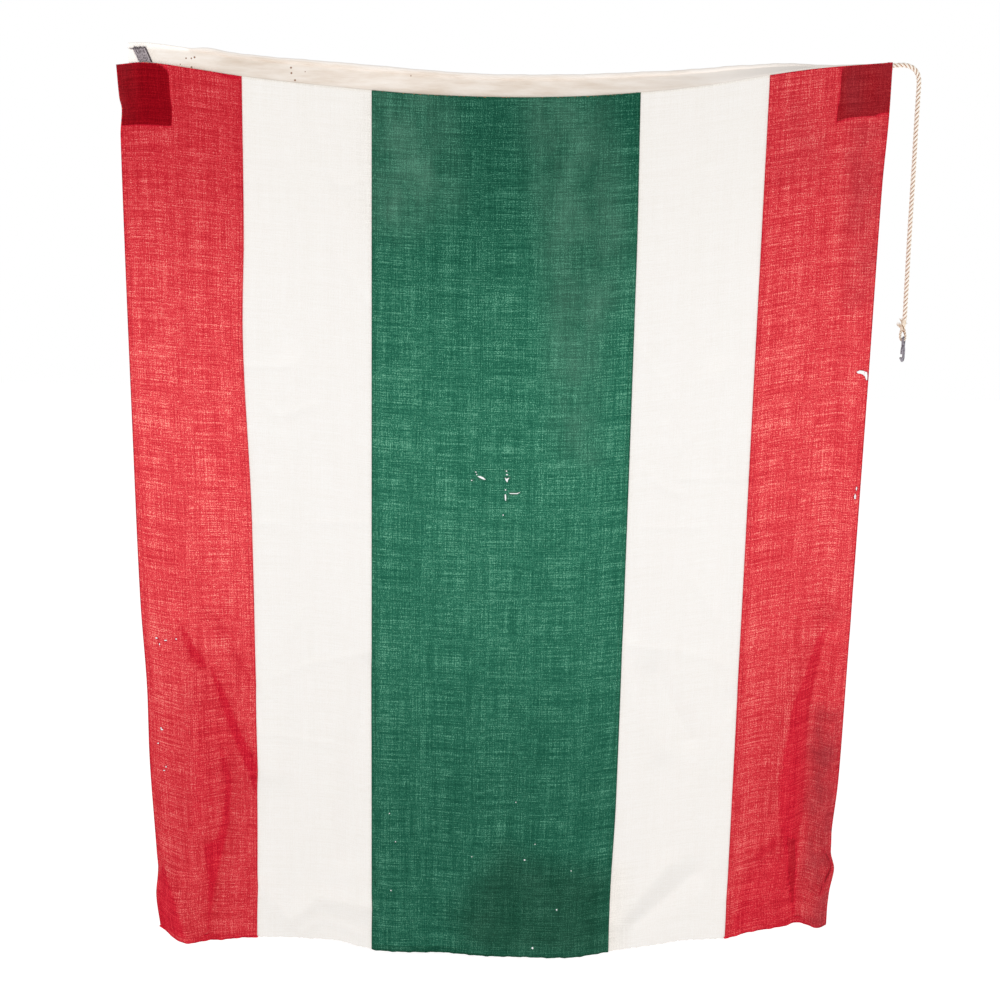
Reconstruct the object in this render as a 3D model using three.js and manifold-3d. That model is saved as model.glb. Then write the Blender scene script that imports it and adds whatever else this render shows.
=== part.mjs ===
// An old five-stripe bunting flag, hung out at full size from its canvas heading.
// The stripes run down from the heading: red, white, green, white and red.
// Millimetres. X runs along the hoist, Y points away from the viewer and Z is up.
// The origin is the middle of the heading's top edge, where the flag is held.

import * as THREE from 'three';
import { mergeVertices } from 'three/addons/utils/BufferGeometryUtils.js';
import Module from 'manifold-3d';

// Cloth
const CLOTH = 1.2;               // thickness of one layer of bunting
const LAYER = CLOTH + 0.3;       // step from one sewn layer to the next behind it
const FACE_Y = -12;              // front face of the bunting, in front of the heading's top
const CLOTH_LENGTH = 1760;       // bunting, from the heading seam to the bottom hem
const SEAM_LAP = 8;              // white cloth turned behind its coloured neighbour
const BOTTOM_HEM = 13;
const SIDE_HEM = 9;
const HEM_STEP = 2;              // run over which a hem doubles the cloth
const NARROW_COLUMN = 25;        // largest step between columns of a narrow panel
const WIDE_COLUMN = 32;          // the same in the wide middle panel
const TOP_RUNS = [0, 45, 85, 130]; // rows that shape the corners below the heading
const UPPER_ROWS = 5;            // rows of the flat upper part
const UPPER_SHARE = 0.5;         // share of the length that hangs nearly flat
const LOWER_ROWS = 17;           // rows of the folded lower part

// Canvas heading
const HEADING_LEFT = -712;
const HEADING_RIGHT = 728;
const HEADING_STEPS = 32;
const CANVAS = 2;                // two layers of canvas
const ALLOWANCE = 10;            // canvas sewn behind the bunting's top edge
const HINGE_RADIUS = 3;          // middle of the canvas where it leans back
const LIP_RADIUS = 5;            // rolled tube that holds the rope
const FLAT_LIP_RADIUS = 2.2;     // the same tube where it is empty
const LIP_ARC_STEPS = 6;
const HINGE_ARC_STEPS = 3;

// Corner patches and webbing tab
const PATCH_INSET = 10.5;        // from the cloth's edge, clear of its side hem
const PATCH_WIDTH = 88;
const PATCH_HEIGHT = 106;
const PATCH_STEPS = 4;
const TAB_WIDTH = 24;
const TAB_LEAN = 13;             // how far the tab's top stands left of its foot
const TAB_FOOT_X = -677;
const TAB_FOOT = 1.5;            // height of the tab's foot above the seam
const TAB_TOP = 31;
const TAB_THICK = 1.4;
const TAB_COLUMNS = 3;
const TAB_ROWS = 4;
const SKIN_GAP = 0.3;            // between pieces that lie against each other

// Rope and its eye
const ROPE_RADIUS = 4.4;
const ROPE_LOBE = 0.13;          // share of the radius that the three strands rise and fall
const ROPE_SIDES = 9;
const ROPE_STRANDS = 3;
const ROPE_PITCH = 26;           // one full turn of the strands
const ROPE_STEPS_A_TURN = 6;
const EYE_STRAND_RADIUS = 2.1;
const EYE_HALF_WIDTH = 6.2;
const EYE_TOP_Z = -463;
const EYE_LOW_Z = -487.6;
const EYE_STEPS = 28;
const EYE_SIDES = 8;
// One side of the eye's loop from the top down: shares of its half width and of its height
const EYE_SIDE = [[0.74, 0.72], [1, 0.42], [0.93, 0.2], [0.52, 0.04]];
const SPLICE_TOP_Z = -448;
const SPLICE_LOW_Z = -472;
const SPLICE_RADIUS = 6.2;
const SPLICE_SIDES = 12;
// The splice from the bottom up: shares of its radius and of its height
const SPLICE_BULGE = [
  [0, 0], [0.55, 0], [0.86, 0.14], [1, 0.42], [0.95, 0.72], [0.68, 0.97], [0.6, 1], [0, 1],
];
const TAIL_RADIUS = 2.4;
const TAIL_LENGTH = 16;
const TAIL_TILT = 0.75;          // radians from upright, towards the flag
const TAIL_TAPER = 0.7;          // share of the radius left at its end
const TAIL_ROOT = 0.35;          // share of the splice's height where it comes out
const TAIL_SIDES = 7;

// Clip
const CLIP_TURN = 60 * Math.PI / 180;   // its flat side is turned this far from the viewer
const CLIP_THICK = 4.6;
const CLIP_BEVEL = 0.9;
const CLIP_EYE_Z = -488.2;
const CLIP_EYE_RADIUS = 9.2;
const CLIP_EYE_BORE = 4.3;
const RING_TOP_Z = -497;
const RING_LOW_Z = -530;
const RING_HALF_WIDTH = 11;
const RING_WALL = 5.8;
const RING_MOUTH_Z = -517;
const RING_MOUTH = 5;
const NECK_HALF_WIDTH = 5.5;     // joins the eye to the ring
const CURVE_STEPS = 9;           // to each curve of the clip's outlines

// Hand-placed curves: height of the seam with the heading, and of the bottom edge, along X
const seamHeight = curveThrough([
  [-735, 4], [-679, 9], [-589, -1], [-498, -13], [-372, -25], [-253, -34], [-145, -40],
  [2, -42], [138, -38], [253, -29], [364, -16], [498, 7], [592, 21], [726, 34],
]);
const bottomHeight = curveThrough([
  [-703, -1756], [-686, -1769], [-659, -1782], [-625, -1788], [-591, -1784], [-536, -1774],
  [-499, -1772], [-337, -1776], [-252, -1796], [-149, -1801], [24, -1806], [156, -1803],
  [251, -1790], [351, -1773], [412, -1762], [499, -1755], [544, -1741], [624, -1724],
  [655, -1717], [693, -1726], [711, -1719],
]);

// The same for X along the run of the cloth, from the heading seam down
const leftEdge = curveThrough([
  [0, -735], [60, -731], [80, -727], [130, -731], [768, -726], [1040, -722], [1220, -714],
  [1384, -713], [1588, -704], [1629, -703], [1687, -710], [1760, -703],
]);
const redWhiteLeft = curveThrough([
  [0, -500], [290, -501], [456, -506], [560, -505], [854, -494], [1449, -492], [1760, -497],
]);
const whiteGreenLeft = curveThrough([[0, -253], [1760, -252]]);
const greenWhiteRight = curveThrough([[0, 254], [326, 258], [1419, 256], [1614, 251], [1760, 251]]);
const whiteRedRight = curveThrough([[0, 498], [1760, 499]]);
const rightEdge = curveThrough([
  [0, 726], [105, 726], [229, 722], [572, 721], [1226, 718], [1435, 716], [1588, 708],
  [1627, 717], [1681, 711], [1760, 711],
]);

// Lean of the heading from upright, in degrees, its flat height and its rolled lip, along X
const headingLean = curveThrough([
  [-720, 0], [-560, 2], [-535, 11], [-447, 11], [-259, 0], [-146, 4], [0, 11], [99, 11],
  [250, 23], [362, 36], [475, 55], [550, 70], [592, 84], [650, 92], [728, 98],
]);
const bandHeight = curveThrough([[-720, 33], [-560, 33], [-259, 36], [0, 33], [728, 33]]);
const lipRadius = curveThrough([
  [-720, FLAT_LIP_RADIUS], [-600, FLAT_LIP_RADIUS], [-560, LIP_RADIUS], [728, LIP_RADIUS],
]);

// Main folds, each a soft trough along a line of [x, z]. A depth below zero is a ridge.
const FOLDS = [
  { line: [[-646, -1093], [-580, -1194], [-522, -1346], [-498, -1400]], depth: 9, width: 30 },
  { line: [[-582, -1053], [-541, -1125], [-500, -1210]], depth: 4, width: 24 },
  {
    line: [[-560, -1347], [-547, -1422], [-558, -1509], [-598, -1686], [-607, -1770]],
    depth: 12, width: 28,
  },
  { line: [[-622, -1264], [-617, -1348], [-631, -1531], [-636, -1610]], depth: -8, width: 30 },
  { line: [[-682, -1635], [-646, -1770]], depth: -13, width: 26 },
  { line: [[-712, -1625], [-700, -1770]], depth: 9, width: 22 },
  {
    line: [[672, -1056], [632, -1170], [608, -1290], [604, -1420], [618, -1560]],
    depth: -13, width: 30,
  },
  {
    line: [[668, -1110], [660, -1270], [662, -1440], [650, -1560], [648, -1700]],
    depth: 10, width: 26,
  },
  { line: [[700, -1535], [714, -1590], [694, -1650]], depth: -9, width: 20 },
  { line: [[551, -1563], [600, -1520]], depth: 5, width: 24 },
  { line: [[524, -1666], [598, -1664]], depth: 7, width: 26 },
  { line: [[8, -421], [19, -1022], [32, -1676]], depth: 4, width: 26 },
  { line: [[140, -1300], [120, -1560], [170, -1800]], depth: -8, width: 70 },
  { line: [[-120, -1200], [-160, -1500], [-90, -1790]], depth: 7, width: 60 },
  { line: [[-411, -560], [-428, -866], [-445, -1183], [-449, -1408]], depth: 4, width: 26 },
  { line: [[-252, -1179], [-281, -1337], [-300, -1577]], depth: -6, width: 30 },
  { line: [[-489, -1662], [-428, -1738], [-368, -1684], [-252, -1707]], depth: 6, width: 26 },
  { line: [[425, -560], [447, -744], [462, -966], [485, -1191]], depth: 4, width: 26 },
  { line: [[276, -1116], [298, -1226], [346, -1338]], depth: 5, width: 26 },
  { line: [[327, -1168], [402, -1309]], depth: -5, width: 26 },
  { line: [[270, -1731], [375, -1590]], depth: 6, width: 26 },
  { line: [[304, -1723], [422, -1609]], depth: -6, width: 26 },
];
const FOLD_START = 60;           // run below the heading where folds begin to show
const FOLD_FULL = 260;           // run where they have their whole depth

// Torn holes, as outlines of [x, z], on the panel that each belongs to
const RED_TEARS = [
  [
    [697, -548], [703, -545], [714, -547], [718, -550], [719.5, -563], [717, -564], [713, -556],
    [706, -551.5],
  ],
  [[711, -780], [713, -775], [714.5, -780], [713, -785]],
  [[709, -796], [711, -789.5], [713.5, -795], [713, -801], [710.5, -802]],
];
const GREEN_TEARS = [
  [[-43, -769], [-37, -767.5], [-31, -770], [-26, -776], [-30, -777], [-37, -773.5]],
  [[12, -771.5], [15, -774.5], [21, -772], [18.5, -776.5], [17, -781.5], [14, -778]],
  [[21, -801.5], [24, -805], [38, -804.5], [44, -799.5], [36, -801.5], [27, -802]],
];
const TEAR_REACH = 60;           // how far a tear's cutter reaches through the cloth

// Where the rope runs, from the heading's open end to its splice
const ROPE_ROUTE = [
  [729, 28, 32.4], [742, 28, 34], [754, 28, 35], [765, 28, 34.2], [775, 28, 31],
  [783, 28, 24.5], [788.2, 28, 15], [790.2, 28, 3], [790.6, 28, -20], [790.9, 27.6, -80],
  [792.2, 27.6, -160], [793, 28, -240], [794.1, 28.3, -320], [795.3, 28, -400],
  [796, 28, SPLICE_TOP_Z + SKIN_GAP],
];
const HANG_X = 797;              // where the eye and the clip hang
const HANG_Y = 28;

const materials = {
  red: clothMaterial(0xd2323c),
  white: clothMaterial(0xf4efe8),
  green: clothMaterial(0x2c6e54),
  patch: clothMaterial(0x8c0a1c),
  canvas: clothMaterial(0xe9dfd2),
  webbing: clothMaterial(0x7c7276),
  rope: clothMaterial(0xcdb390),
  cast: new THREE.MeshStandardMaterial({ color: 0x77747c, roughness: 0.5, metalness: 0.85 }),
};

function clothMaterial(color) {
  return new THREE.MeshStandardMaterial({ color, roughness: 0.92, metalness: 0 });
}

// A smooth function through points sorted by their first number, level past its ends
function curveThrough(points) {
  const last = points.length - 1;
  const slope = (i) => {
    const before = points[Math.max(i - 1, 0)];
    const after = points[Math.min(i + 1, last)];
    return (after[1] - before[1]) / (after[0] - before[0]);
  };
  return (at) => {
    const t = Math.min(Math.max(at, points[0][0]), points[last][0]);
    let i = 0;
    while (i < last - 1 && t > points[i + 1][0]) i += 1;
    const [x0, y0] = points[i];
    const [x1, y1] = points[i + 1];
    const span = x1 - x0;
    const s = (t - x0) / span;
    return (1 + 2 * s) * (1 - s) ** 2 * y0 + s * (1 - s) ** 2 * span * slope(i)
      + s * s * (3 - 2 * s) * y1 + s * s * (s - 1) * span * slope(i + 1);
  };
}

const mix = (a, b, t) => a + (b - a) * t;

const smoothRise = (t) => {
  const s = Math.min(Math.max(t, 0), 1);
  return s * s * (3 - 2 * s);
};

// Distance from a point to a line of points
function distanceToLine(x, z, line) {
  let nearest = Infinity;
  for (let i = 0; i + 1 < line.length; i += 1) {
    const [x0, z0] = line[i];
    const [dx, dz] = [line[i + 1][0] - x0, line[i + 1][1] - z0];
    const t = Math.min(Math.max(((x - x0) * dx + (z - z0) * dz) / (dx * dx + dz * dz), 0), 1);
    nearest = Math.min(nearest, Math.hypot(x - x0 - dx * t, z - z0 - dz * t));
  }
  return nearest;
}

// How far the folds carry the cloth back from its flat face
function foldDepth(x, z) {
  const share = smoothRise((seamHeight(x) - z - FOLD_START) / (FOLD_FULL - FOLD_START));
  if (share === 0) return 0;
  let depth = 0;
  for (const fold of FOLDS) {
    const d = distanceToLine(x, z, fold.line) / fold.width;
    depth += fold.depth * Math.exp(-d * d);
  }
  return depth * share;
}

// A geometry from points and triangles, turned so that its faces point outwards
function closedGeometry(points, triangles) {
  let volume = 0;
  const a = new THREE.Vector3();
  const b = new THREE.Vector3();
  const c = new THREE.Vector3();
  for (const [i, j, k] of triangles) {
    a.fromArray(points[i]);
    b.fromArray(points[j]);
    c.fromArray(points[k]);
    volume += a.dot(b.cross(c));
  }
  const turned = volume < 0 ? triangles.map(([i, j, k]) => [i, k, j]) : triangles;
  const geometry = new THREE.BufferGeometry();
  geometry.setAttribute('position', new THREE.Float32BufferAttribute(points.flat(), 3));
  geometry.setIndex(turned.flat());
  geometry.computeVertexNormals();
  return geometry;
}

// A solid sheet over a grid: place(column, row) gives [x, front y, z, thickness]
function sheetGeometry(columns, rows, place) {
  const front = [];
  const back = [];
  for (let r = 0; r < rows; r += 1) {
    for (let c = 0; c < columns; c += 1) {
      const [x, y, z, thickness] = place(c, r);
      front.push([x, y, z]);
      back.push([x, y + thickness, z]);
    }
  }
  const half = front.length;
  const triangles = [];
  const quad = (i, j, k, l) => triangles.push([i, j, k], [i, k, l]);
  for (let r = 0; r + 1 < rows; r += 1) {
    for (let c = 0; c + 1 < columns; c += 1) {
      const i = r * columns + c;
      quad(i, i + columns, i + columns + 1, i + 1);
      quad(half + i, half + i + 1, half + i + columns + 1, half + i + columns);
    }
  }
  const rim = [];
  for (let c = 0; c < columns; c += 1) rim.push(c);
  for (let r = 1; r < rows; r += 1) rim.push(r * columns + columns - 1);
  for (let c = columns - 2; c >= 0; c -= 1) rim.push((rows - 1) * columns + c);
  for (let r = rows - 2; r > 0; r -= 1) rim.push(r * columns);
  rim.forEach((i, n) => {
    const next = rim[(n + 1) % rim.length];
    quad(i, next, half + next, half + i);
  });
  return closedGeometry([...front, ...back], triangles);
}

// Rows of every panel, as distances down the cloth, so that lapped layers share them
const rowRuns = [...TOP_RUNS];
for (let i = 1; i < UPPER_ROWS; i += 1) {
  rowRuns.push(mix(TOP_RUNS[TOP_RUNS.length - 1], CLOTH_LENGTH * UPPER_SHARE, i / UPPER_ROWS));
}
for (let i = 0; i <= LOWER_ROWS; i += 1) {
  rowRuns.push(mix(CLOTH_LENGTH * UPPER_SHARE, CLOTH_LENGTH - BOTTOM_HEM, i / LOWER_ROWS));
}
rowRuns.push(CLOTH_LENGTH - BOTTOM_HEM + HEM_STEP, CLOTH_LENGTH);

// Columns between two seams, as [share of the width, offset in mm]
function panelColumns({ left, right, fromLeft, fromRight, columnWidth = NARROW_COLUMN }) {
  const count = Math.ceil((right(0) - left(0)) / columnWidth);
  const columns = fromLeft.map((offset) => [0, offset]);
  for (let i = 1; i < count; i += 1) columns.push([i / count, 0]);
  return [...columns, ...fromRight.map((offset) => [1, offset])];
}

// One stripe. hems says which of its edges are turned back and doubled.
function panelGeometry(panel) {
  const { left, right, layer, hems } = panel;
  const columns = panelColumns(panel);
  return sheetGeometry(columns.length, rowRuns.length, (c, r) => {
    const [share, offset] = columns[c];
    const run = rowRuns[r];
    const x = mix(left(run), right(run), share) + offset;
    const topX = mix(left(0), right(0), share) + offset;
    const lowX = mix(left(CLOTH_LENGTH), right(CLOTH_LENGTH), share) + offset;
    const z = mix(seamHeight(topX), bottomHeight(lowX), run / CLOTH_LENGTH);
    const inHem = hems.bottom && run > CLOTH_LENGTH - BOTTOM_HEM && c > hems.from(columns.length)
      && c < hems.to(columns.length);
    const atSide = hems.side === 'left' ? c < 2 : hems.side === 'right' && c > columns.length - 3;
    return [x, FACE_Y + layer * LAYER + foldDepth(x, z), z, inHem || atSide ? 2 * CLOTH : CLOTH];
  });
}

const sideHem = [0, SIDE_HEM - HEM_STEP, SIDE_HEM];
const plainHems = { bottom: false };
const panels = {
  panel_red_left: {
    left: leftEdge, right: redWhiteLeft, layer: 0, material: materials.red,
    fromLeft: sideHem, fromRight: [-SEAM_LAP - HEM_STEP, -SEAM_LAP, 0],
    hems: { bottom: true, side: 'left', from: () => -1, to: (n) => n - 2 },
  },
  panel_white_left: {
    left: redWhiteLeft, right: whiteGreenLeft, layer: 1, material: materials.white,
    fromLeft: [-SEAM_LAP, 0], fromRight: [0, SEAM_LAP], hems: plainHems,
  },
  panel_green: {
    left: whiteGreenLeft, right: greenWhiteRight, layer: 0, material: materials.green,
    columnWidth: WIDE_COLUMN,
    fromLeft: [0, SEAM_LAP, SEAM_LAP + HEM_STEP], fromRight: [-SEAM_LAP - HEM_STEP, -SEAM_LAP, 0],
    hems: { bottom: true, from: () => 1, to: (n) => n - 2 }, tears: GREEN_TEARS,
  },
  panel_white_right: {
    left: greenWhiteRight, right: whiteRedRight, layer: 1, material: materials.white,
    fromLeft: [-SEAM_LAP, 0], fromRight: [0, SEAM_LAP], hems: plainHems,
  },
  panel_red_right: {
    left: whiteRedRight, right: rightEdge, layer: 0, material: materials.red,
    fromLeft: [0, SEAM_LAP, SEAM_LAP + HEM_STEP], fromRight: [...sideHem].reverse().map((d) => -d),
    hems: { bottom: true, side: 'right', from: () => 1, to: (n) => n }, tears: RED_TEARS,
  },
};

// A reinforcing square behind a top corner, inside the side hem
function patchGeometry(edge, inward) {
  const near = edge(0) + inward * PATCH_INSET;
  return sheetGeometry(PATCH_STEPS + 1, PATCH_STEPS + 1, (c, r) => {
    const x = near + inward * PATCH_WIDTH * c / PATCH_STEPS;
    const down = PATCH_HEIGHT * r / PATCH_STEPS;
    const shift = (edge(down) - edge(0)) * (1 - c / PATCH_STEPS);
    return [x + shift, FACE_Y + LAYER, seamHeight(x) - SKIN_GAP - down, CLOTH];
  });
}

// A point on the heading: s runs up its middle from the seam, n is the way back from there
function headingPoint(x, s, n) {
  const lean = headingLean(x) * Math.PI / 180;
  const middle = FACE_Y + 2 * LAYER + CANVAS / 2;
  const seam = seamHeight(x);
  const arc = Math.min(Math.max(s / HINGE_RADIUS, 0), lean);
  const past = s > 0 ? s - arc * HINGE_RADIUS : s;
  const y = middle + HINGE_RADIUS * (1 - Math.cos(arc)) + past * Math.sin(arc) + n * Math.cos(arc);
  const z = seam + HINGE_RADIUS * Math.sin(arc) + past * Math.cos(arc) - n * Math.sin(arc);
  return [x, y, z];
}

// The heading's section at x, once round: up its front, over the rolled lip and down its back
function headingSection(x) {
  const lean = headingLean(x) * Math.PI / 180;
  const band = bandHeight(x);
  const lip = lipRadius(x);
  const half = CANVAS / 2;
  const heights = [-ALLOWANCE, 0];
  for (let i = 1; i <= HINGE_ARC_STEPS; i += 1) {
    heights.push(HINGE_RADIUS * Math.max(lean, 0.05) * i / HINGE_ARC_STEPS);
  }
  const points = heights.map((s) => headingPoint(x, s, -half));
  const open = Math.asin(half / lip);
  for (let i = 0; i <= LIP_ARC_STEPS; i += 1) {
    const angle = mix(open - Math.PI, Math.PI - open, i / LIP_ARC_STEPS);
    points.push(headingPoint(x, band + lip + lip * Math.cos(angle), lip * Math.sin(angle)));
  }
  return [...points, ...heights.reverse().map((s) => headingPoint(x, s, half))];
}

// A solid through a row of like sections. startPlane and endPlane flatten its ends for their caps.
function loftGeometry(sections, startPlane, endPlane = startPlane) {
  const sides = sections[0].length;
  const triangles = [];
  for (let i = 0; i + 1 < sections.length; i += 1) {
    for (let j = 0; j < sides; j += 1) {
      const a = i * sides + j;
      const b = i * sides + (j + 1) % sides;
      triangles.push([a, b, b + sides], [a, b + sides, a + sides]);
    }
  }
  const cap = (section, plane, first, forwards) => {
    const outline = section.map(plane);
    const turned = (THREE.ShapeUtils.area(outline) > 0) === forwards;
    for (const [i, j, k] of THREE.ShapeUtils.triangulateShape(outline, [])) {
      triangles.push(turned ? [first + i, first + j, first + k] : [first + i, first + k, first + j]);
    }
  };
  cap(sections[0], startPlane, 0, false);
  cap(sections[sections.length - 1], endPlane, (sections.length - 1) * sides, true);
  return closedGeometry(sections.flat(), triangles);
}

function headingGeometry() {
  const sections = [];
  for (let i = 0; i <= HEADING_STEPS; i += 1) {
    sections.push(headingSection(mix(HEADING_LEFT, HEADING_RIGHT, i / HEADING_STEPS)));
  }
  return loftGeometry(sections, ([, y, z]) => new THREE.Vector2(y, z));
}

// The webbing tab stands on the heading's face, leaning towards the flag's left edge
function tabGeometry() {
  return sheetGeometry(TAB_COLUMNS, TAB_ROWS, (c, r) => {
    const up = mix(TAB_TOP, TAB_FOOT, r / (TAB_ROWS - 1));
    const lean = TAB_LEAN * (up - TAB_FOOT) / (TAB_TOP - TAB_FOOT);
    const x = TAB_FOOT_X - lean + TAB_WIDTH * (c / (TAB_COLUMNS - 1) - 0.5);
    const [, y, z] = headingPoint(x, up, -CANVAS / 2 - SKIN_GAP - TAB_THICK);
    return [x, y, z, TAB_THICK];
  });
}

// A three-strand laid rope: a lobed section that turns as it follows the route
function ropeGeometry() {
  const curve = new THREE.CatmullRomCurve3(ROPE_ROUTE.map((p) => new THREE.Vector3(...p)));
  const length = curve.getLength();
  const steps = Math.round(length / ROPE_PITCH * ROPE_STEPS_A_TURN);
  const frames = curve.computeFrenetFrames(steps, false);
  const sections = [];
  for (let i = 0; i <= steps; i += 1) {
    const centre = curve.getPointAt(i / steps);
    const turn = 2 * Math.PI * length * i / steps / ROPE_PITCH;
    const section = [];
    for (let j = 0; j < ROPE_SIDES; j += 1) {
      const around = 2 * Math.PI * j / ROPE_SIDES;
      const radius = ROPE_RADIUS * (1 - ROPE_LOBE + ROPE_LOBE * Math.cos(ROPE_STRANDS * around));
      const point = centre.clone()
        .addScaledVector(frames.normals[i], radius * Math.cos(around + turn))
        .addScaledVector(frames.binormals[i], radius * Math.sin(around + turn));
      section.push(point.toArray());
    }
    sections.push(section);
  }
  const plane = (i) => ([x, y, z]) => {
    const offset = new THREE.Vector3(x, y, z).sub(curve.getPointAt(i / steps));
    return new THREE.Vector2(offset.dot(frames.normals[i]), offset.dot(frames.binormals[i]));
  };
  return loftGeometry(sections, plane(0), plane(steps));
}

const library = await Module();
library.setup();

// A closed solid for joining and cutting, from a geometry
function toSolid(geometry) {
  const bare = geometry.clone();
  bare.deleteAttribute('normal');
  bare.deleteAttribute('uv');
  const merged = mergeVertices(bare);
  return new library.Manifold(new library.Mesh({
    numProp: 3,
    vertProperties: new Float32Array(merged.attributes.position.array),
    triVerts: new Uint32Array(merged.index.array),
  }));
}

function toGeometry(solid) {
  const mesh = solid.getMesh();
  const geometry = new THREE.BufferGeometry();
  geometry.setAttribute('position', new THREE.BufferAttribute(mesh.vertProperties.slice(), 3));
  geometry.setIndex(new THREE.BufferAttribute(mesh.triVerts.slice(), 1));
  geometry.computeVertexNormals();
  return geometry;
}

// A cutter that reaches through the cloth inside an outline of [x, z]
function tearCutter(outline) {
  const shape = new THREE.Shape(outline.map(([x, z]) => new THREE.Vector2(x, z)));
  const cutter = new THREE.ExtrudeGeometry(shape, { depth: 2 * TEAR_REACH, bevelEnabled: false });
  cutter.translate(0, 0, -TEAR_REACH);
  cutter.rotateX(Math.PI / 2);
  return toSolid(cutter);
}

function tornGeometry(geometry, tears) {
  const torn = tears.reduce((cloth, outline) => cloth.subtract(tearCutter(outline)), toSolid(geometry));
  return toGeometry(torn);
}

// The rope's end is worked back into itself: a fat splice, a soft eye and a loose tail
function ropeEyeGeometry() {
  const at = ([across, up]) => new THREE.Vector3(
    across * EYE_HALF_WIDTH, 0, mix(EYE_LOW_Z, EYE_TOP_Z, up));
  const mirrored = [...EYE_SIDE].reverse().map(([across, up]) => [-across, up]);
  const loop = new THREE.CatmullRomCurve3([[0, 1], ...EYE_SIDE, [0, 0], ...mirrored].map(at), true);
  const eye = new THREE.TubeGeometry(loop, EYE_STEPS, EYE_STRAND_RADIUS, EYE_SIDES, true);
  const height = SPLICE_TOP_Z - SPLICE_LOW_Z;
  const profile = SPLICE_BULGE.map(([r, h]) => new THREE.Vector2(r * SPLICE_RADIUS, h * height));
  const splice = new THREE.LatheGeometry(profile, SPLICE_SIDES);
  splice.rotateX(Math.PI / 2);
  splice.translate(0, 0, SPLICE_LOW_Z);
  const tail = new THREE.CylinderGeometry(
    TAIL_RADIUS * TAIL_TAPER, TAIL_RADIUS, TAIL_LENGTH, TAIL_SIDES);
  tail.rotateX(Math.PI / 2);
  tail.translate(0, 0, TAIL_LENGTH / 2);
  tail.rotateY(-TAIL_TILT);
  tail.translate(0, 0, SPLICE_LOW_Z + TAIL_ROOT * height);
  const joined = toSolid(eye).add(toSolid(splice)).add(toSolid(tail));
  return toGeometry(joined).translate(HANG_X, HANG_Y, 0);
}

// An oblong with round ends, as a closed path or hole
function oblong(path, halfWidth, low, high) {
  path.moveTo(halfWidth, low + halfWidth);
  path.lineTo(halfWidth, high - halfWidth);
  path.absarc(0, high - halfWidth, halfWidth, 0, Math.PI, false);
  path.lineTo(-halfWidth, low + halfWidth);
  path.absarc(0, low + halfWidth, halfWidth, Math.PI, 2 * Math.PI, false);
  return path;
}

// A flat cast clip: an eye for the rope over an oblong ring with a mouth in one side
function clipGeometry() {
  const flat = {
    depth: CLIP_THICK - 2 * CLIP_BEVEL,
    bevelSize: CLIP_BEVEL,
    bevelOffset: -CLIP_BEVEL,
    bevelThickness: CLIP_BEVEL,
    bevelSegments: 1,
    curveSegments: CURVE_STEPS,
  };
  const ring = oblong(new THREE.Shape(), RING_HALF_WIDTH, RING_LOW_Z, RING_TOP_Z);
  const insideHalf = RING_HALF_WIDTH - RING_WALL;
  ring.holes.push(oblong(new THREE.Path(), insideHalf, RING_LOW_Z + RING_WALL, RING_TOP_Z - RING_WALL));
  const eye = new THREE.Shape();
  eye.absarc(0, CLIP_EYE_Z, CLIP_EYE_RADIUS, 0, 2 * Math.PI, false);
  eye.holes.push(new THREE.Path().absarc(0, CLIP_EYE_Z, CLIP_EYE_BORE, 0, 2 * Math.PI, true));
  const neckTop = CLIP_EYE_Z - CLIP_EYE_BORE - CLIP_BEVEL;
  const neckLow = RING_TOP_Z - RING_WALL + CLIP_BEVEL;
  const neck = new THREE.Shape([
    new THREE.Vector2(-NECK_HALF_WIDTH, neckLow), new THREE.Vector2(NECK_HALF_WIDTH, neckLow),
    new THREE.Vector2(NECK_HALF_WIDTH, neckTop), new THREE.Vector2(-NECK_HALF_WIDTH, neckTop),
  ]);
  const pieces = [ring, eye, neck].map((shape) => toSolid(new THREE.ExtrudeGeometry(shape, flat)));
  const mouth = new THREE.BoxGeometry(2 * RING_HALF_WIDTH, RING_MOUTH, 4 * CLIP_THICK);
  mouth.translate(-RING_HALF_WIDTH, RING_MOUTH_Z, 0);
  const cast = pieces[0].add(pieces[1]).add(pieces[2]).subtract(toSolid(mouth));
  const geometry = toGeometry(cast);
  geometry.translate(0, 0, CLIP_BEVEL - CLIP_THICK / 2);
  geometry.rotateX(Math.PI / 2);
  geometry.rotateZ(CLIP_TURN);
  return geometry.translate(HANG_X, HANG_Y, 0);
}

const flag = new THREE.Group();

function addNode(name, geometry, material) {
  const mesh = new THREE.Mesh(geometry, material);
  mesh.name = name;
  flag.add(mesh);
}

for (const [name, panel] of Object.entries(panels)) {
  const geometry = panelGeometry(panel);
  addNode(name, panel.tears ? tornGeometry(geometry, panel.tears) : geometry, panel.material);
}
addNode('heading', headingGeometry(), materials.canvas);
addNode('corner_patch_left', patchGeometry(leftEdge, 1), materials.patch);
addNode('corner_patch_right', patchGeometry(rightEdge, -1), materials.patch);
addNode('webbing_tab', tabGeometry(), materials.webbing);
addNode('rope', ropeGeometry(), materials.rope);
addNode('rope_eye', ropeEyeGeometry(), materials.rope);
addNode('clip', clipGeometry(), materials.cast);

export default flag;
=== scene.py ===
"""An old five-stripe bunting flag, hung out from its canvas heading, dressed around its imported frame.

Lengths in this file are millimetres in the flag's own frame, and meshes are written in metres.
X runs along the heading, Y points away from the viewer and Z is up. The origin is the middle of
the heading's top edge.
"""
from __future__ import annotations

import logging
import math
from dataclasses import dataclass, field
from enum import Enum
from typing import Any, Callable, Sequence

import bpy
import numpy as np
from mathutils import Euler, Matrix, Vector

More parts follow.
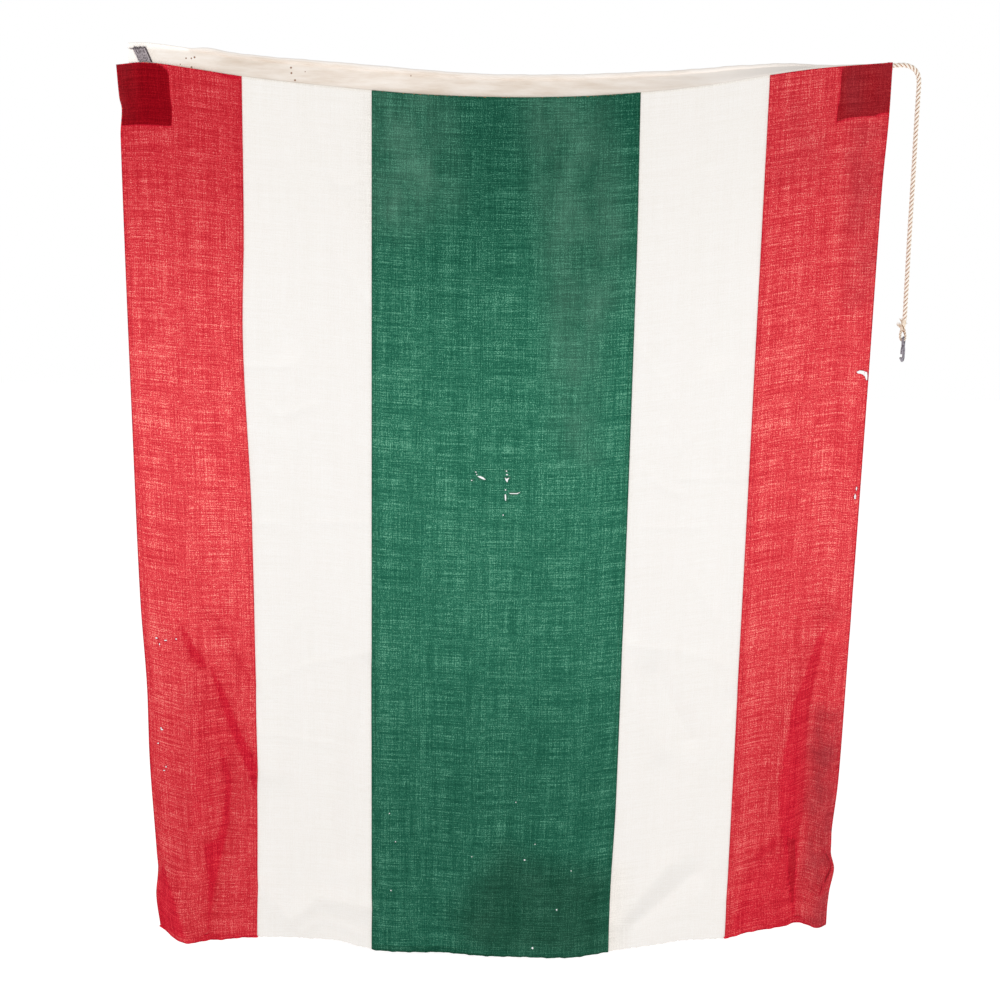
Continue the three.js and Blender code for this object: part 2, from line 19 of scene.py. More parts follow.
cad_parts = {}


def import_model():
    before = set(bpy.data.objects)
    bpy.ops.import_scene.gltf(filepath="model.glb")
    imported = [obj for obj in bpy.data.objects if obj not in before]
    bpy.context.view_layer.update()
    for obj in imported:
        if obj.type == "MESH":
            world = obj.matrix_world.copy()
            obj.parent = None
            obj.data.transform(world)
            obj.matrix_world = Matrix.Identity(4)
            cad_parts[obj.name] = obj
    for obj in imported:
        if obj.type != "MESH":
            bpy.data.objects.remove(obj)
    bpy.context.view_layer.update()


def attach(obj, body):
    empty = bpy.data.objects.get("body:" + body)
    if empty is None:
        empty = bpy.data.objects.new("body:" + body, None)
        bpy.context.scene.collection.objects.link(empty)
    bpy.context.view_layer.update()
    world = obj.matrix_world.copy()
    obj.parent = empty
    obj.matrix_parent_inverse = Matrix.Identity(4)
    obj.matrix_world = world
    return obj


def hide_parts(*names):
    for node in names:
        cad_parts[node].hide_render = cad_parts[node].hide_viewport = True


log = logging.getLogger("flag")

MM = 0.001

# Short names for types
Array = np.ndarray
Line = tuple[tuple[float, float], ...]
Route = Sequence[tuple[float, float, float]]
Faces = Sequence[Sequence[int]]
Piece = bpy.types.Object
Material = bpy.types.Material
Tree = bpy.types.NodeTree
Node = bpy.types.Node
Socket = bpy.types.NodeSocket

# Cloth
FACE_Y = -12.0            # front face of the bunting
LAYER = 1.5               # step from one sewn layer to the next behind it
CLOTH_LENGTH = 1760.0     # bunting, from the heading seam to the bottom hem
BUNTING = 0.5             # thickness of one layer
SEAM_LAP = 8.0            # cloth turned under at a seam
SIDE_HEM = 9.0
BOTTOM_HEM = 13.0
TURN_RADIUS = 0.5         # of the cloth where it turns back in a seam or side hem
ROLL_RADIUS = 1.3         # of the rolled bottom hem
CUT_THROUGH = (-70.0, 60.0)  # ends of the cutters of tears, along Y
CELL = 5.0                # grid of the narrow panels
WIDE_CELL = 5.5           # grid of the green panel
PATCH_INSET = 10.5
PATCH_WIDTH = 88.0
PATCH_HEIGHT = 106.0
TONE_EDGE = 0.9           # half the step over which the tone of a patch or hem sets in
FOLD_START = 60.0         # run below the heading where folds begin to show
FOLD_FULL = 260.0         # run where they have their whole depth

# Canvas heading
HEADING_LEFT = -712.0
HEADING_RIGHT = 728.0
CANVAS = 0.9              # thickness of one layer of canvas
HINGE_RADIUS = 3.0
ALLOWANCE = 10.0
HEADING_MIDDLE = FACE_Y + 2 * LAYER + 1.0

# Rope, splice and clip
ROPE_DIAMETER = 8.8
ROPE_PITCH = 26.0
EYE_TOP_Z = -463.0
EYE_LOW_Z = -487.6
SPLICE_TOP_Z = -448.0
SPLICE_LOW_Z = -472.0
HANG_X = 797.0
SPLICE_X = 793.6
HANG_Y = 28.0
CLIP_TURN = math.radians(60)
ROPE_ROUTE = (
    (729, 28, 32.4), (742, 28, 34), (754, 28, 35), (765, 28, 34.2), (775, 28, 31),
    (783, 28, 24.5), (788.2, 28, 15), (790.2, 28, 3), (790.6, 28, -20), (790.9, 27.6, -80),
    (792.2, 27.6, -160), (793, 28, -240), (794.1, 28.3, -320), (795.3, 28, -400),
    (796, 28, -447.7),
)


def linear(colour: str) -> tuple[float, float, float, float]:
    """Turns an sRGB hex colour into a linear one.

    Args:
        colour: six hex digits, with or without a leading mark.

    Returns:
        Linear red, green, blue and an alpha of one.
    """
    digits = colour.lstrip("#")
    parts = [int(digits[i:i + 2], 16) / 255 for i in (0, 2, 4)]
    red, green, blue = (c / 12.92 if c <= 0.04045 else ((c + 0.055) / 1.055) ** 2.4 for c in parts)
    return red, green, blue, 1.0


def smooth_rise(t: Array) -> Array:
    """Returns a soft step from 0 to 1 as t goes from 0 to 1."""
    s = np.clip(t, 0.0, 1.0)
    return s * s * (3 - 2 * s)


def mix(a: Any, b: Any, t: Any) -> Any:
    """Returns the blend of a and b at t."""
    return a + (b - a) * t


@dataclass(frozen=True)
class SmoothCurve:
    """A smooth line of values through given points, level past its ends."""

    points: Line

    def at(self, where: Array | float) -> Array:
        """Reads the curve.

        Args:
            where: places along the curve.

        Returns:
            Its values there.
        """
        places, values = np.array(self.points, float).T
        last = len(places) - 1
        index = np.arange(last + 1)
        before, after = np.maximum(index - 1, 0), np.minimum(index + 1, last)
        slopes = (values[after] - values[before]) / (places[after] - places[before])
        t = np.clip(np.asarray(where, float), places[0], places[-1])
        i = np.clip(np.searchsorted(places, t, side="right") - 1, 0, last - 1)
        span = places[i + 1] - places[i]
        s = (t - places[i]) / span
        start = (1 + 2 * s) * (1 - s) ** 2 * values[i] + s * (1 - s) ** 2 * span * slopes[i]
        end = s * s * (3 - 2 * s) * values[i + 1] + s * s * (s - 1) * span * slopes[i + 1]
        return start + end


# Height of the seam with the heading, and of the bottom edge, along X
SEAM_HEIGHT = SmoothCurve((
    (-735, 4), (-679, 9), (-589, -1), (-498, -13), (-372, -25), (-253, -34), (-145, -40),
    (2, -42), (138, -38), (253, -29), (364, -16), (498, 7), (592, 21), (726, 34),
))
BOTTOM_HEIGHT = SmoothCurve((
    (-703, -1756), (-686, -1769), (-659, -1782), (-625, -1788), (-591, -1784), (-536, -1774),
    (-499, -1772), (-337, -1776), (-252, -1796), (-149, -1801), (24, -1806), (156, -1803),
    (251, -1790), (351, -1773), (412, -1762), (499, -1755), (544, -1741), (624, -1724),
    (655, -1717), (693, -1726), (711, -1719),
))

# The stripes' edges, as X along the run of the cloth
LEFT_EDGE = SmoothCurve((
    (0, -735), (60, -731), (80, -727), (130, -731), (768, -726), (1040, -722), (1220, -714),
    (1384, -713), (1588, -704), (1629, -703), (1687, -710), (1760, -703),
))
RED_WHITE_LEFT = SmoothCurve((
    (0, -500), (290, -501), (456, -506), (560, -505), (854, -494), (1449, -492), (1760, -497),
))
# Painted backlight: how much lighter the cloth is painted down its length, most across the middle of the
# flag, where light shines through it
PAINTED_BACKLIGHT = SmoothCurve((
    (0, 0.0), (150, 0.12), (420, 0.75), (700, 1.0), (1050, 0.8), (1400, 0.33), (1760, 0.26),
))
WHITE_GREEN_LEFT = SmoothCurve(((0, -253), (1760, -252)))
GREEN_WHITE_RIGHT = SmoothCurve(((0, 254), (326, 258), (1419, 256), (1614, 251), (1760, 251)))
WHITE_RED_RIGHT = SmoothCurve(((0, 498), (1760, 499)))
RIGHT_EDGE = SmoothCurve((
    (0, 726), (105, 726), (229, 722), (572, 721), (1226, 718), (1435, 716), (1588, 708),
    (1627, 717), (1681, 711), (1760, 711),
))

# The heading along X: its lean from upright in degrees, its flat height and its rolled lip
HEADING_LEAN = SmoothCurve((
    (-720, 0), (-560, 2), (-535, 11), (-447, 11), (-259, 0), (-146, 4), (0, 11), (99, 11),
    (250, 23), (362, 36), (475, 55), (550, 70), (592, 84), (650, 92), (728, 98),
))
BAND_HEIGHT = SmoothCurve(((-720, 33), (-560, 33), (-259, 36), (0, 33), (728, 33)))
LIP_RADIUS = SmoothCurve(((-720, 2.2), (-600, 2.2), (-560, 5), (728, 5)))


def distance_to_line(x: Array, z: Array, line: Line) -> Array:
    """Measures how far each point lies from a line of points.

    Args:
        x: places along the heading.
        z: heights.
        line: the line's points, as (x, z).

    Returns:
        The distances, in millimetres.
    """
    nearest = np.full(np.shape(x), np.inf)
    for (x0, z0), (x1, z1) in zip(line, line[1:]):
        dx, dz = x1 - x0, z1 - z0
        t = np.clip(((x - x0) * dx + (z - z0) * dz) / (dx * dx + dz * dz), 0, 1)
        nearest = np.minimum(nearest, np.hypot(x - x0 - dx * t, z - z0 - dz * t))
    return nearest


@dataclass(frozen=True)
class Fold:
    """A soft trough in the cloth along a line of (x, z). A depth below zero is a ridge."""

    line: Line
    depth: float
    width: float

    def depth_at(self, x: Array, z: Array) -> Array:
        """Returns how far the fold carries the cloth back at each point."""
        return self.depth * np.exp(-(distance_to_line(x, z, self.line) / self.width) ** 2)


@dataclass(frozen=True)
class Area:
    """A part of the cloth inside an outline of (x, z), where its tone differs."""

    outline: Line
    strength: float
    softness: float

    def share_at(self, x: Array, z: Array) -> Array:
        """Works out how strongly the area's tone shows.

        Args:
            x: places along the heading.
            z: heights.

        Returns:
            The area's strength well inside it, down to nought outside.
        """
        closed = (*self.outline, self.outline[0])
        distance = distance_to_line(x, z, closed)
        inside = np.zeros(np.shape(x), bool)
        for (x0, z0), (x1, z1) in zip(closed, closed[1:]):
            crosses = (z0 > z) != (z1 > z)
            slope = (x1 - x0) / (z1 - z0) if z1 != z0 else 0.0
            inside ^= crosses & (x < x0 + (z - z0) * slope)
        signed = np.where(inside, distance, -distance)
        return self.strength * smooth_rise(0.5 + signed / (2 * self.softness))


def strongest(areas: Sequence[Area], x: Array, z: Array) -> Array:
    """Returns the strongest tone that any of the areas has at each point."""
    return np.max([area.share_at(x, z) for area in areas], axis=0)


# The main folds, as in the solids
MAIN_FOLDS = tuple(Fold(*row) for row in (
    (((-646, -1093), (-580, -1194), (-522, -1346), (-498, -1400)), 9, 30),
    (((-582, -1053), (-541, -1125), (-500, -1210)), 4, 24),
    (((-560, -1347), (-547, -1422), (-558, -1509), (-598, -1686), (-607, -1770)), 12, 28),
    (((-622, -1264), (-617, -1348), (-631, -1531), (-636, -1610)), -8, 30),
    (((-682, -1635), (-646, -1770)), -13, 26),
    (((-712, -1625), (-700, -1770)), 9, 22),
    (((672, -1056), (632, -1170), (608, -1290), (604, -1420), (618, -1560)), -13, 30),
    (((668, -1110), (660, -1270), (662, -1440), (650, -1560), (648, -1700)), 10, 26),
    (((700, -1535), (714, -1590), (694, -1650)), -9, 20),
    (((551, -1563), (600, -1520)), 5, 24),
    (((524, -1666), (598, -1664)), 7, 26),
    (((8, -421), (19, -1022), (32, -1676)), 4, 26),
    (((140, -1300), (120, -1560), (170, -1800)), -8, 70),
    (((-120, -1200), (-160, -1500), (-90, -1790)), 7, 60),
    (((-411, -560), (-428, -866), (-445, -1183), (-449, -1408)), 4, 26),
    (((-252, -1179), (-281, -1337), (-300, -1577)), -6, 30),
    (((-489, -1662), (-428, -1738), (-368, -1684), (-252, -1707)), 6, 26),
    (((425, -560), (447, -744), (462, -966), (485, -1191)), 4, 26),
    (((276, -1116), (298, -1226), (346, -1338)), 5, 26),
    (((327, -1168), (402, -1309)), -5, 26),
    (((270, -1731), (375, -1590)), 6, 26),
    (((304, -1723), (422, -1609)), -6, 26),
))

# Pressed creases and small puckers, finer than the solids carry
CREASES = tuple(Fold(*row) for row in (
    (((-681, -128), (-675, -155), (-667, -193), (-658, -218), (-656, -244)), -1.5, 7),
    (((-643, -1092), (-624, -1129), (-598, -1172)), 2.2, 7),
    (((-583, -1182), (-562, -1222), (-533, -1301), (-500, -1374)), 2.4, 7),
    (((-582, -1053), (-555, -1086), (-541, -1125), (-505, -1183)), 1.6, 8),
    (((-622, -1264), (-617, -1348), (-627, -1480), (-631, -1531)), -1.8, 9),
    (((-560, -1347), (-547, -1422), (-556, -1519), (-587, -1668), (-604, -1765)), 2.4, 8),
    (((-664, -1496), (-636, -1534), (-583, -1551)), 1.6, 9),
    (((-682, -1635), (-664, -1700), (-646, -1760)), -2.6, 8),
    (((671, -1052), (638, -1130), (609, -1228), (595, -1341), (593, -1460)), -2.6, 9),
    (((674, -1060), (652, -1204), (649, -1378), (639, -1522), (642, -1688)), 2.4, 8),
    (((695, -1540), (712, -1584), (692, -1643)), -2.4, 7),
    (((551, -1563), (594, -1528)), 1.8, 8),
    (((8, -421), (19, -1022), (32, -1676)), 1.4, 8),
    (((4, -1700), (6, -1750), (4, -1777)), 1.2, 6),
    (((-241, -1642), (-198, -1711), (-149, -1740), (-108, -1792)), 3.4, 12),
    (((-243, -1734), (-206, -1755), (-157, -1780)), 2.4, 9),
    (((247, -1676), (204, -1729), (169, -1765), (149, -1796)), 3.0, 11),
    (((-23, -915), (-2, -946)), 1.6, 7),
    (((-169, -944), (-183, -968)), 1.8, 9),
    (((49, -1002), (132, -962), (178, -941)), 1.7, 8),
    (((32, -992), (48, -950)), 1.6, 7),
    (((37, -1389), (28, -1427), (17, -1474), (21, -1503), (2, -1529)), 1.6, 8),
    (((-397, -113), (-397, -267), (-411, -545), (-413, -656)), 0.9, 8),
    (((-357, -112), (-335, -188), (-318, -212), (-253, -199)), 0.9, 9),
    (((-330, -262), (-324, -343), (-253, -442)), 0.9, 9),
    (((-500, -561), (-425, -559)), 1.1, 7),
    (((-467, -631), (-438, -658), (-367, -635)), 1.1, 8),
    (((-493, -873), (-437, -872)), 1.1, 7),
    (((-367, -870), (-264, -869)), 1.0, 7),
    (((-485, -1156), (-453, -1196), (-391, -1169), (-252, -1137)), 1.2, 8),
    (((-488, -1315), (-341, -1336)), 1.2, 8),
    (((-386, -1045), (-417, -1104)), 1.2, 8),
    (((-489, -1662), (-428, -1738), (-368, -1684), (-252, -1707)), 1.6, 9),
    (((-396, -1758), (-356, -1728), (-277, -1763)), 1.8, 9),
    (((393, -180), (394, -260), (401, -366), (401, -484), (388, -591)), 0.9, 8),
    (((428, -472), (424, -518), (437, -543), (425, -620), (447, -744)), 1.2, 8),
    (((447, -744), (450, -808), (462, -966), (477, -1152), (485, -1191)), 1.2, 8),
    (((265, -504), (331, -592), (375, -689)), 1.0, 8),
    (((328, -660), (360, -713)), 1.0, 7),
    (((288, -747), (323, -782), (364, -800)), 1.1, 8),
    (((394, -973), (461, -1062)), 1.1, 8),
    (((363, -767), (492, -765)), 1.1, 7),
    (((291, -868), (407, -866)), 1.1, 7),
    (((276, -1116), (370, -1121), (473, -1153)), 1.2, 8),
    (((276, -1116), (298, -1226), (346, -1338)), 1.4, 9),
    (((327, -1168), (402, -1309)), -1.4, 9),
    (((495, -1251), (431, -1391)), 1.2, 9),
    (((270, -1731), (375, -1590)), 1.6, 9),
    (((304, -1723), (422, -1609)), -1.6, 9),
    (((426, -1687), (466, -1595)), 1.3, 9),
))

# The green panel's lower right, where a broad old fold lies, darkened with painted shade
GREEN_FOLD: Line = (
    (22, -1560), (103, -1583), (200, -1598), (262, -1612), (262, -1815), (0, -1815),
    (-59, -1774), (-76, -1717), (-37, -1638),
)

# Painted shade where two thicknesses lie together and let less light through, and where the cloth is in a
# deep fold
PAINTED_SHADE_AREAS = (
    Area(((-650, -1078), (-634, -1100), (-622, -1126), (-603, -1152), (-590, -1176),
          (-604, -1184), (-623, -1165), (-637, -1132)), 0.73, 5),
    Area(((-586, -1176), (-577, -1188), (-560, -1222), (-547, -1254), (-531, -1301),
          (-511, -1348), (-491, -1374), (-494, -1450), (-513, -1400), (-537, -1345),
          (-554, -1296), (-572, -1240)), 0.73, 3),
    Area(((-590, -1048), (-555, -1086), (-541, -1125), (-500, -1190), (-496, -1235),
          (-530, -1165), (-552, -1120)), 0.34, 8),
    Area(((-621, -1190), (-580, -1210), (-550, -1290), (-540, -1360), (-570, -1470),
          (-620, -1500), (-625, -1350)), 0.24, 14),
    Area(((-621, -1264), (-616, -1348), (-626, -1480), (-631, -1531), (-606, -1500),
          (-596, -1400), (-600, -1310)), 0.36, 10),
    Area(((-566, -1347), (-547, -1422), (-553, -1519), (-572, -1570), (-580, -1555),
          (-567, -1500), (-560, -1430), (-572, -1365)), 0.66, 4),
    Area(((-606, -1565), (-602, -1637), (-602, -1714), (-605, -1765), (-602, -1765),
          (-598, -1726), (-587, -1668), (-570, -1591), (-558, -1544), (-553, -1519),
          (-566, -1544), (-588, -1558)), 0.7, 5),
    Area(((-691, -1605), (-686, -1618), (-678, -1641), (-662, -1702), (-646, -1772),
          (-703, -1764), (-709, -1691), (-706, -1646)), 0.7, 3),
    Area(((674, -1054), (653, -1079), (638, -1130), (624, -1186), (609, -1228), (603, -1284),
          (595, -1341), (589, -1403), (593, -1460), (603, -1523), (622, -1600), (636, -1692),
          (643, -1692), (640, -1595), (640, -1522), (651, -1459), (649, -1378), (647, -1274),
          (652, -1204), (661, -1143)), 0.66, 2.5),
    Area(((640, -1180), (625, -1240), (612, -1320), (606, -1400), (612, -1470), (628, -1520),
          (634, -1440), (632, -1320)), 0.72, 10),
    Area(((516, -1758), (521, -1655), (547, -1580), (624, -1525), (639, -1533), (650, -1721),
          (573, -1743)), 0.42, 16),
    Area(((612, -1511), (639, -1524), (646, -1603), (647, -1705), (640, -1701), (623, -1619)),
         0.78, 2.5),
    Area(((545, -1578), (590, -1524), (606, -1522), (598, -1545), (560, -1580)), 0.55, 7),
    Area(((508, -1735), (524, -1672), (560, -1660), (604, -1662), (575, -1690), (545, -1712),
          (525, -1745)), 0.55, 9),
    Area(((693, -1539), (713, -1574), (714, -1586), (702, -1617), (692, -1647), (688, -1647),
          (696, -1615), (707, -1586), (706, -1574), (690, -1546)), 0.9, 2),
    Area(GREEN_FOLD, 0.56, 55),
    Area(((70, -60), (178, -60), (225, -250), (228, -398), (195, -480), (110, -480), (85, -325)),
         0.18, 40),
    Area(((-28, -1690), (6, -1690), (8, -1790), (0, -1790)), 0.25, 9),
    Area(((-560, -5), (-520, -12), (-503, -14), (-503, -22), (-530, -16)), 0.75, 2),
    Area(((-679, -128), (-673, -155), (-665, -193), (-655, -218), (-653, -244), (-640, -235),
          (-648, -190), (-662, -140)), 0.22, 5),
)

# Greyer areas of the cloth
GREYED_AREAS = (
    Area(((46, -30), (178, -30), (232, -228), (238, -398), (200, -500), (187, -593),
          (190, -735), (135, -735), (107, -643), (95, -477), (78, -325), (48, -157)), 0.5, 45),
    Area(GREEN_FOLD, 0.1, 45),
    Area(((-252, -20), (-124, -30), (-103, -234), (-199, -292), (-252, -274)), 0.6, 60),
    Area(((-745, 20), (-700, 20), (-712, -90), (-745, -90)), 0.26, 26),
    Area(((625, 55), (750, 55), (745, -20), (705, -62), (640, -66)), 0.3, 14),
    Area(((500, 20), (630, 30), (620, -180), (505, -200)), 0.14, 40),
    Area(((640, -75), (735, -75), (724, -420), (672, -420)), 0.26, 30),
    Area(((655, -1240), (722, -1240), (720, -1735), (660, -1735), (652, -1500)), 0.55, 22),
)


class Corner(Enum):
    """A top corner of the flag, as the way along X that leads inwards from it."""

    LEFT = 1.0
    RIGHT = -1.0


# Painted shade where the corner patches behind the cloth let less light through it
PATCH_SHADE = {
    Corner.LEFT: Area(((-760, 40), (-676, 40), (-652, 5), (-640, 0), (-634, -14), (-630, -60),
                       (-630, -107.5), (-680, -107.5), (-760, -107.5)), 0.97, 2.5),
    Corner.RIGHT: Area(((633, 60), (760, 60), (760, -57), (718, -61.5), (626, -76.5)), 0.84, 1.6),
}


def cloth_depth(x: Array, z: Array) -> Array:
    """Works out how far folds, creases and the hang of the cloth carry it back.

    Args:
        x: places along the heading.
        z: heights.

    Returns:
        The depth behind the flat face, in millimetres.
    """
    drop = SEAM_HEIGHT.at(x) - z
    share = smooth_rise((drop - FOLD_START) / (FOLD_FULL - FOLD_START))
    main = sum(fold.depth_at(x, z) for fold in MAIN_FOLDS) * share
    fine = sum(fold.depth_at(x, z) for fold in CREASES) * smooth_rise(drop / FOLD_START)
    # Old bunting never hangs dead flat: slow waves, deeper towards the free lower edge
    slow = 0.9 * np.sin(x / 61 + 0.9 * np.sin(z / 240)) + 0.5 * np.sin(x / 27 - z / 410 + 1.3)
    return main + fine + slow * share * mix(0.35, 1.0, drop / CLOTH_LENGTH)


def deselect() -> None:
    """Deselects every object, so that an operator acts only on what is picked next."""
    bpy.ops.object.select_all(action="DESELECT")


def pick(piece: Piece) -> None:
    """Makes a piece the only selected one and the active one."""
    deselect()
    piece.select_set(True)
    bpy.context.view_layer.objects.active = piece


def apply_modifier(piece: Piece, kind: str, **settings: Any) -> None:
    """Adds a modifier to a piece and applies it.

    Args:
        piece: the piece to change.
        kind: Blender's name for the modifier.
        settings: the modifier's properties.
    """
    pick(piece)
    modifier = piece.modifiers.new(kind.title(), kind)
    for name, value in settings.items():
        setattr(modifier, name, value)
    bpy.ops.object.modifier_apply(modifier=modifier.name)


def into_scene(name: str, data: Any) -> Piece:
    """Makes an object of some data and links it to the scene."""
    thing = bpy.data.objects.new(name, data)
    bpy.context.scene.collection.objects.link(thing)
    return thing


def new_piece(name: str, points: Array, faces: Faces) -> Piece:
    """Makes a piece from points in millimetres.

    Args:
        name: the piece's name.
        points: its points, one row each.
        faces: its faces, as indices of points.

    Returns:
        The new object, at the origin.
    """
    mesh = bpy.data.meshes.new(name)
    mesh.from_pydata((np.asarray(points, float) * MM).tolist(), [], [list(map(int, f)) for f in faces])
    mesh.update()
    return into_scene(name, mesh)


def smooth(piece: Piece, angle: float = 40.0) -> None:
    """Shades a piece smooth, except over edges sharper than the angle in degrees."""
    pick(piece)
    bpy.ops.object.shade_smooth_by_angle(angle=math.radians(angle))


def dress(piece: Piece, material: Material, node: str = "") -> None:
    """Gives a piece its material, and lets it ride on the flag.

    Args:
        piece: the finished piece.
        material: what it is made of.
        node: the CAD node that it takes the place of, if any.
    """
    piece.data.materials.clear()
    piece.data.materials.append(material)
    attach(piece, "root")
    if node:
        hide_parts(node)
    log.info("%s: %d faces", piece.name, len(piece.data.polygons))


def add_node(tree: Tree, kind: str, settings: dict[Any, Any] | None = None,
             links: dict[Any, Socket | Node] | None = None) -> Node:
    """Adds a node with its settings and links.

    Args:
        tree: the material's nodes.
        kind: the node's type name.
        settings: properties by name, and constant inputs by name or number.
        links: output sockets for inputs, by name or number. A node stands for its first output.

    Returns:
        The new node.
    """
    node = tree.nodes.new(kind)
    for key, value in (settings or {}).items():
        if isinstance(key, str) and hasattr(node, key):
            setattr(node, key, value)
        else:
            node.inputs[key].default_value = value
    for key, source in (links or {}).items():
        socket = source.outputs[0] if isinstance(source, Node) else source
        tree.links.new(socket, node.inputs[key])
    return node


def new_material(name: str, base: dict[str, Any]) -> tuple[Material, Tree, Node]:
    """Starts a material with one Principled shader.

    Args:
        name: the material's name.
        base: the shader's constant inputs.

    Returns:
        The material, its nodes and its shader.
    """
    material = bpy.data.materials.new(name)
    material.use_nodes = True
    tree = material.node_tree
    tree.nodes.clear()
    shader = add_node(tree, "ShaderNodeBsdfPrincipled", base)
    add_node(tree, "ShaderNodeOutputMaterial", links={"Surface": shader})
    return material, tree, shader


def read_tone(tree: Tree) -> Sequence[Socket]:
    """Adds the nodes that read a piece's tone.

    Args:
        tree: the material's nodes.

    Returns:
        Output sockets of its three shares.
    """
    tone = add_node(tree, "ShaderNodeAttribute", {"attribute_name": "tone"})
    return add_node(tree, "ShaderNodeSeparateColor", links={0: tone.outputs["Color"]}).outputs


def ramp_stops(node: Node, stops: Sequence[tuple[float, str]]) -> Node:
    """Sets a colour ramp's stops and returns the node.

    Args:
        node: the colour ramp.
        stops: positions from 0 to 1 and hex colours.

    Returns:
        The same node.
    """
    elements = node.color_ramp.elements
    while len(elements) < len(stops):
        elements.new(0.5)
    for element, (position, colour) in zip(elements, stops):
        element.position = position
        element.color = linear(colour)
    return node


@dataclass(frozen=True)
class BuntingFinish:
    """Wool and cotton bunting: an open plain weave of uneven yarns, dyed in the piece.

    The eye gets a fine cross-hatch of thick and thin yarns, paler where the weave is open, with
    painted shade where two thicknesses lie together or the cloth is in a deep fold, and painted
    backlight where light shines through it.
    """

    name: str
    dark: str
    body: str
    pale: str
    slub: str
    # Colours of the painted shade in deep folds and where the cloth lies in two layers
    folded: str
    doubled_shade: str
    greyed: str
    # How much lighter the painted backlight makes the cloth, in red, green and blue
    backlit: tuple[float, float, float]
    contrast: float = 1.0
    # Yarns are 0.7 mm apart, too fine for the picture, so streaks are drawn 1.6 to 2.3 mm thick
    weft_thick: float = 2.2
    weft_long: float = 110.0
    warp_thick: float = 2.3
    warp_long: float = 90.0
    bump: float = 0.25

    def noise(self, tree: Tree, cloth: Socket, across: float, down: float,
              detail: float, shift: float) -> Socket:
        """Adds noise stretched along the yarns.

        Args:
            tree: the material's nodes.
            cloth: the cloth's UV coordinates, in metres.
            across: size of the pattern across the cloth, in millimetres.
            down: size of the pattern down the cloth, in millimetres.
            detail: octaves of noise.
            shift: moves the pattern, so that no two layers line up.

        Returns:
            The noise, around one half.
        """
        scaled = add_node(tree, "ShaderNodeMapping", {
            "Scale": (1 / (across * MM), 1 / (down * MM), 1.0), "Location": (shift, shift * 0.37, 0.0),
        }, {"Vector": cloth})
        made = add_node(tree, "ShaderNodeTexNoise", {
            "noise_dimensions": "2D", "Scale": 1.0, "Detail": detail, "Roughness": 0.6,
        }, {"Vector": scaled})
        return made.outputs[0]

    def make(self) -> Material:
        """Builds the material.

        Returns:
            A new material that reads the cloth's UV map and tone.
        """
        material, tree, shader = new_material(self.name, {
            "Roughness": 0.95, "Specular IOR Level": 0.03, "Sheen Weight": 0.012, "Sheen Roughness": 0.6,
        })
        cloth = add_node(tree, "ShaderNodeUVMap", {"uv_map": "cloth"}).outputs[0]
        layers = (
            (self.noise(tree, cloth, self.weft_long, self.weft_thick, 0.0, 3.1), 0.55),
            (self.noise(tree, cloth, 22.0, 1.6, 0.0, 12.4), 0.5),
            (self.noise(tree, cloth, self.warp_thick, self.warp_long, 0.0, 7.7), 0.46),
            (self.noise(tree, cloth, 1.6, 10.0, 0.0, 5.3), 0.45),
            (self.noise(tree, cloth, 1.9, 1.9, 0.0, 9.2), 1.1),
            (self.noise(tree, cloth, 24.0, 420.0, 1.0, 4.4), 0.26),
            (self.noise(tree, cloth, 150.0, 26.0, 2.0, 6.1), 0.3),
        )
        total = add_node(tree, "ShaderNodeValue").outputs[0]
        total.default_value = 0.5
        for noise, weight in layers:
            centred = add_node(tree, "ShaderNodeMath", {"operation": "SUBTRACT", 1: 0.5}, {0: noise})
            total = add_node(tree, "ShaderNodeMath", {
                "operation": "MULTIPLY_ADD", 1: weight * self.contrast,
            }, {0: centred, 2: total}).outputs[0]
        weave = ramp_stops(add_node(tree, "ShaderNodeValToRGB", links={0: total}), (
            (0.18, self.dark), (0.45, self.body), (0.66, self.pale), (0.92, self.slub)))
        doubled_shade, greyed, backlit = read_tone(tree)[:3]
        # Painted backlight: the colour is multiplied lighter where the tone's third share says light shines
        # through
        colour = add_node(tree, "ShaderNodeMix", {
            "data_type": "RGBA", "blend_type": "MULTIPLY", 7: (*self.backlit, 1.0),
        }, {0: backlit, 6: weave}).outputs[2]
        # Painted shade: two layers hide what lies behind and let less light through, and deep folds are
        # darker; the weave still shows as lighter and darker yarns
        shade = add_node(tree, "ShaderNodeMapRange", {
            "From Min": 0.2, "From Max": 0.9, "To Min": 0.7, "To Max": 1.4,
        }, {"Value": total}).outputs[0]
        lined_shade = add_node(tree, "ShaderNodeMapRange", {"From Min": 0.74, "From Max": 0.82},
                         {"Value": doubled_shade})
        deep = add_node(tree, "ShaderNodeMix", {
            "data_type": "RGBA", 6: linear(self.folded), 7: linear(self.doubled_shade),
        }, {0: lined_shade}).outputs[2]
        deep = add_node(tree, "ShaderNodeVectorMath", {"operation": "SCALE"},
                        {0: deep, "Scale": shade}).outputs[0]
        colour = add_node(tree, "ShaderNodeMix", {"data_type": "RGBA"},
                          {0: doubled_shade, 6: colour, 7: deep}).outputs[2]
        # The greyer colour comes in drifts
        drift = self.noise(tree, cloth, 60.0, 90.0, 3.0, 2.6)
        drift = add_node(tree, "ShaderNodeMapRange", {
            "From Min": 0.3, "From Max": 0.7, "To Min": 0.35, "To Max": 1.25,
        }, {"Value": drift}).outputs[0]
        worn = add_node(tree, "ShaderNodeMath", {"operation": "MULTIPLY", "use_clamp": True},
                        {0: greyed, 1: drift})
        grey = add_node(tree, "ShaderNodeVectorMath", {"operation": "SCALE", 0: linear(self.greyed)[:3]},
                        {"Scale": shade}).outputs[0]
        colour = add_node(tree, "ShaderNodeMix", {"data_type": "RGBA"},
                          {0: worn, 6: colour, 7: grey}).outputs[2]
        tree.links.new(colour, shader.inputs["Base Color"])
        bump = add_node(tree, "ShaderNodeBump", {"Strength": self.bump, "Distance": 0.6 * MM},
                        {"Height": total})
        tree.links.new(bump.outputs[0], shader.inputs["Normal"])
        return material


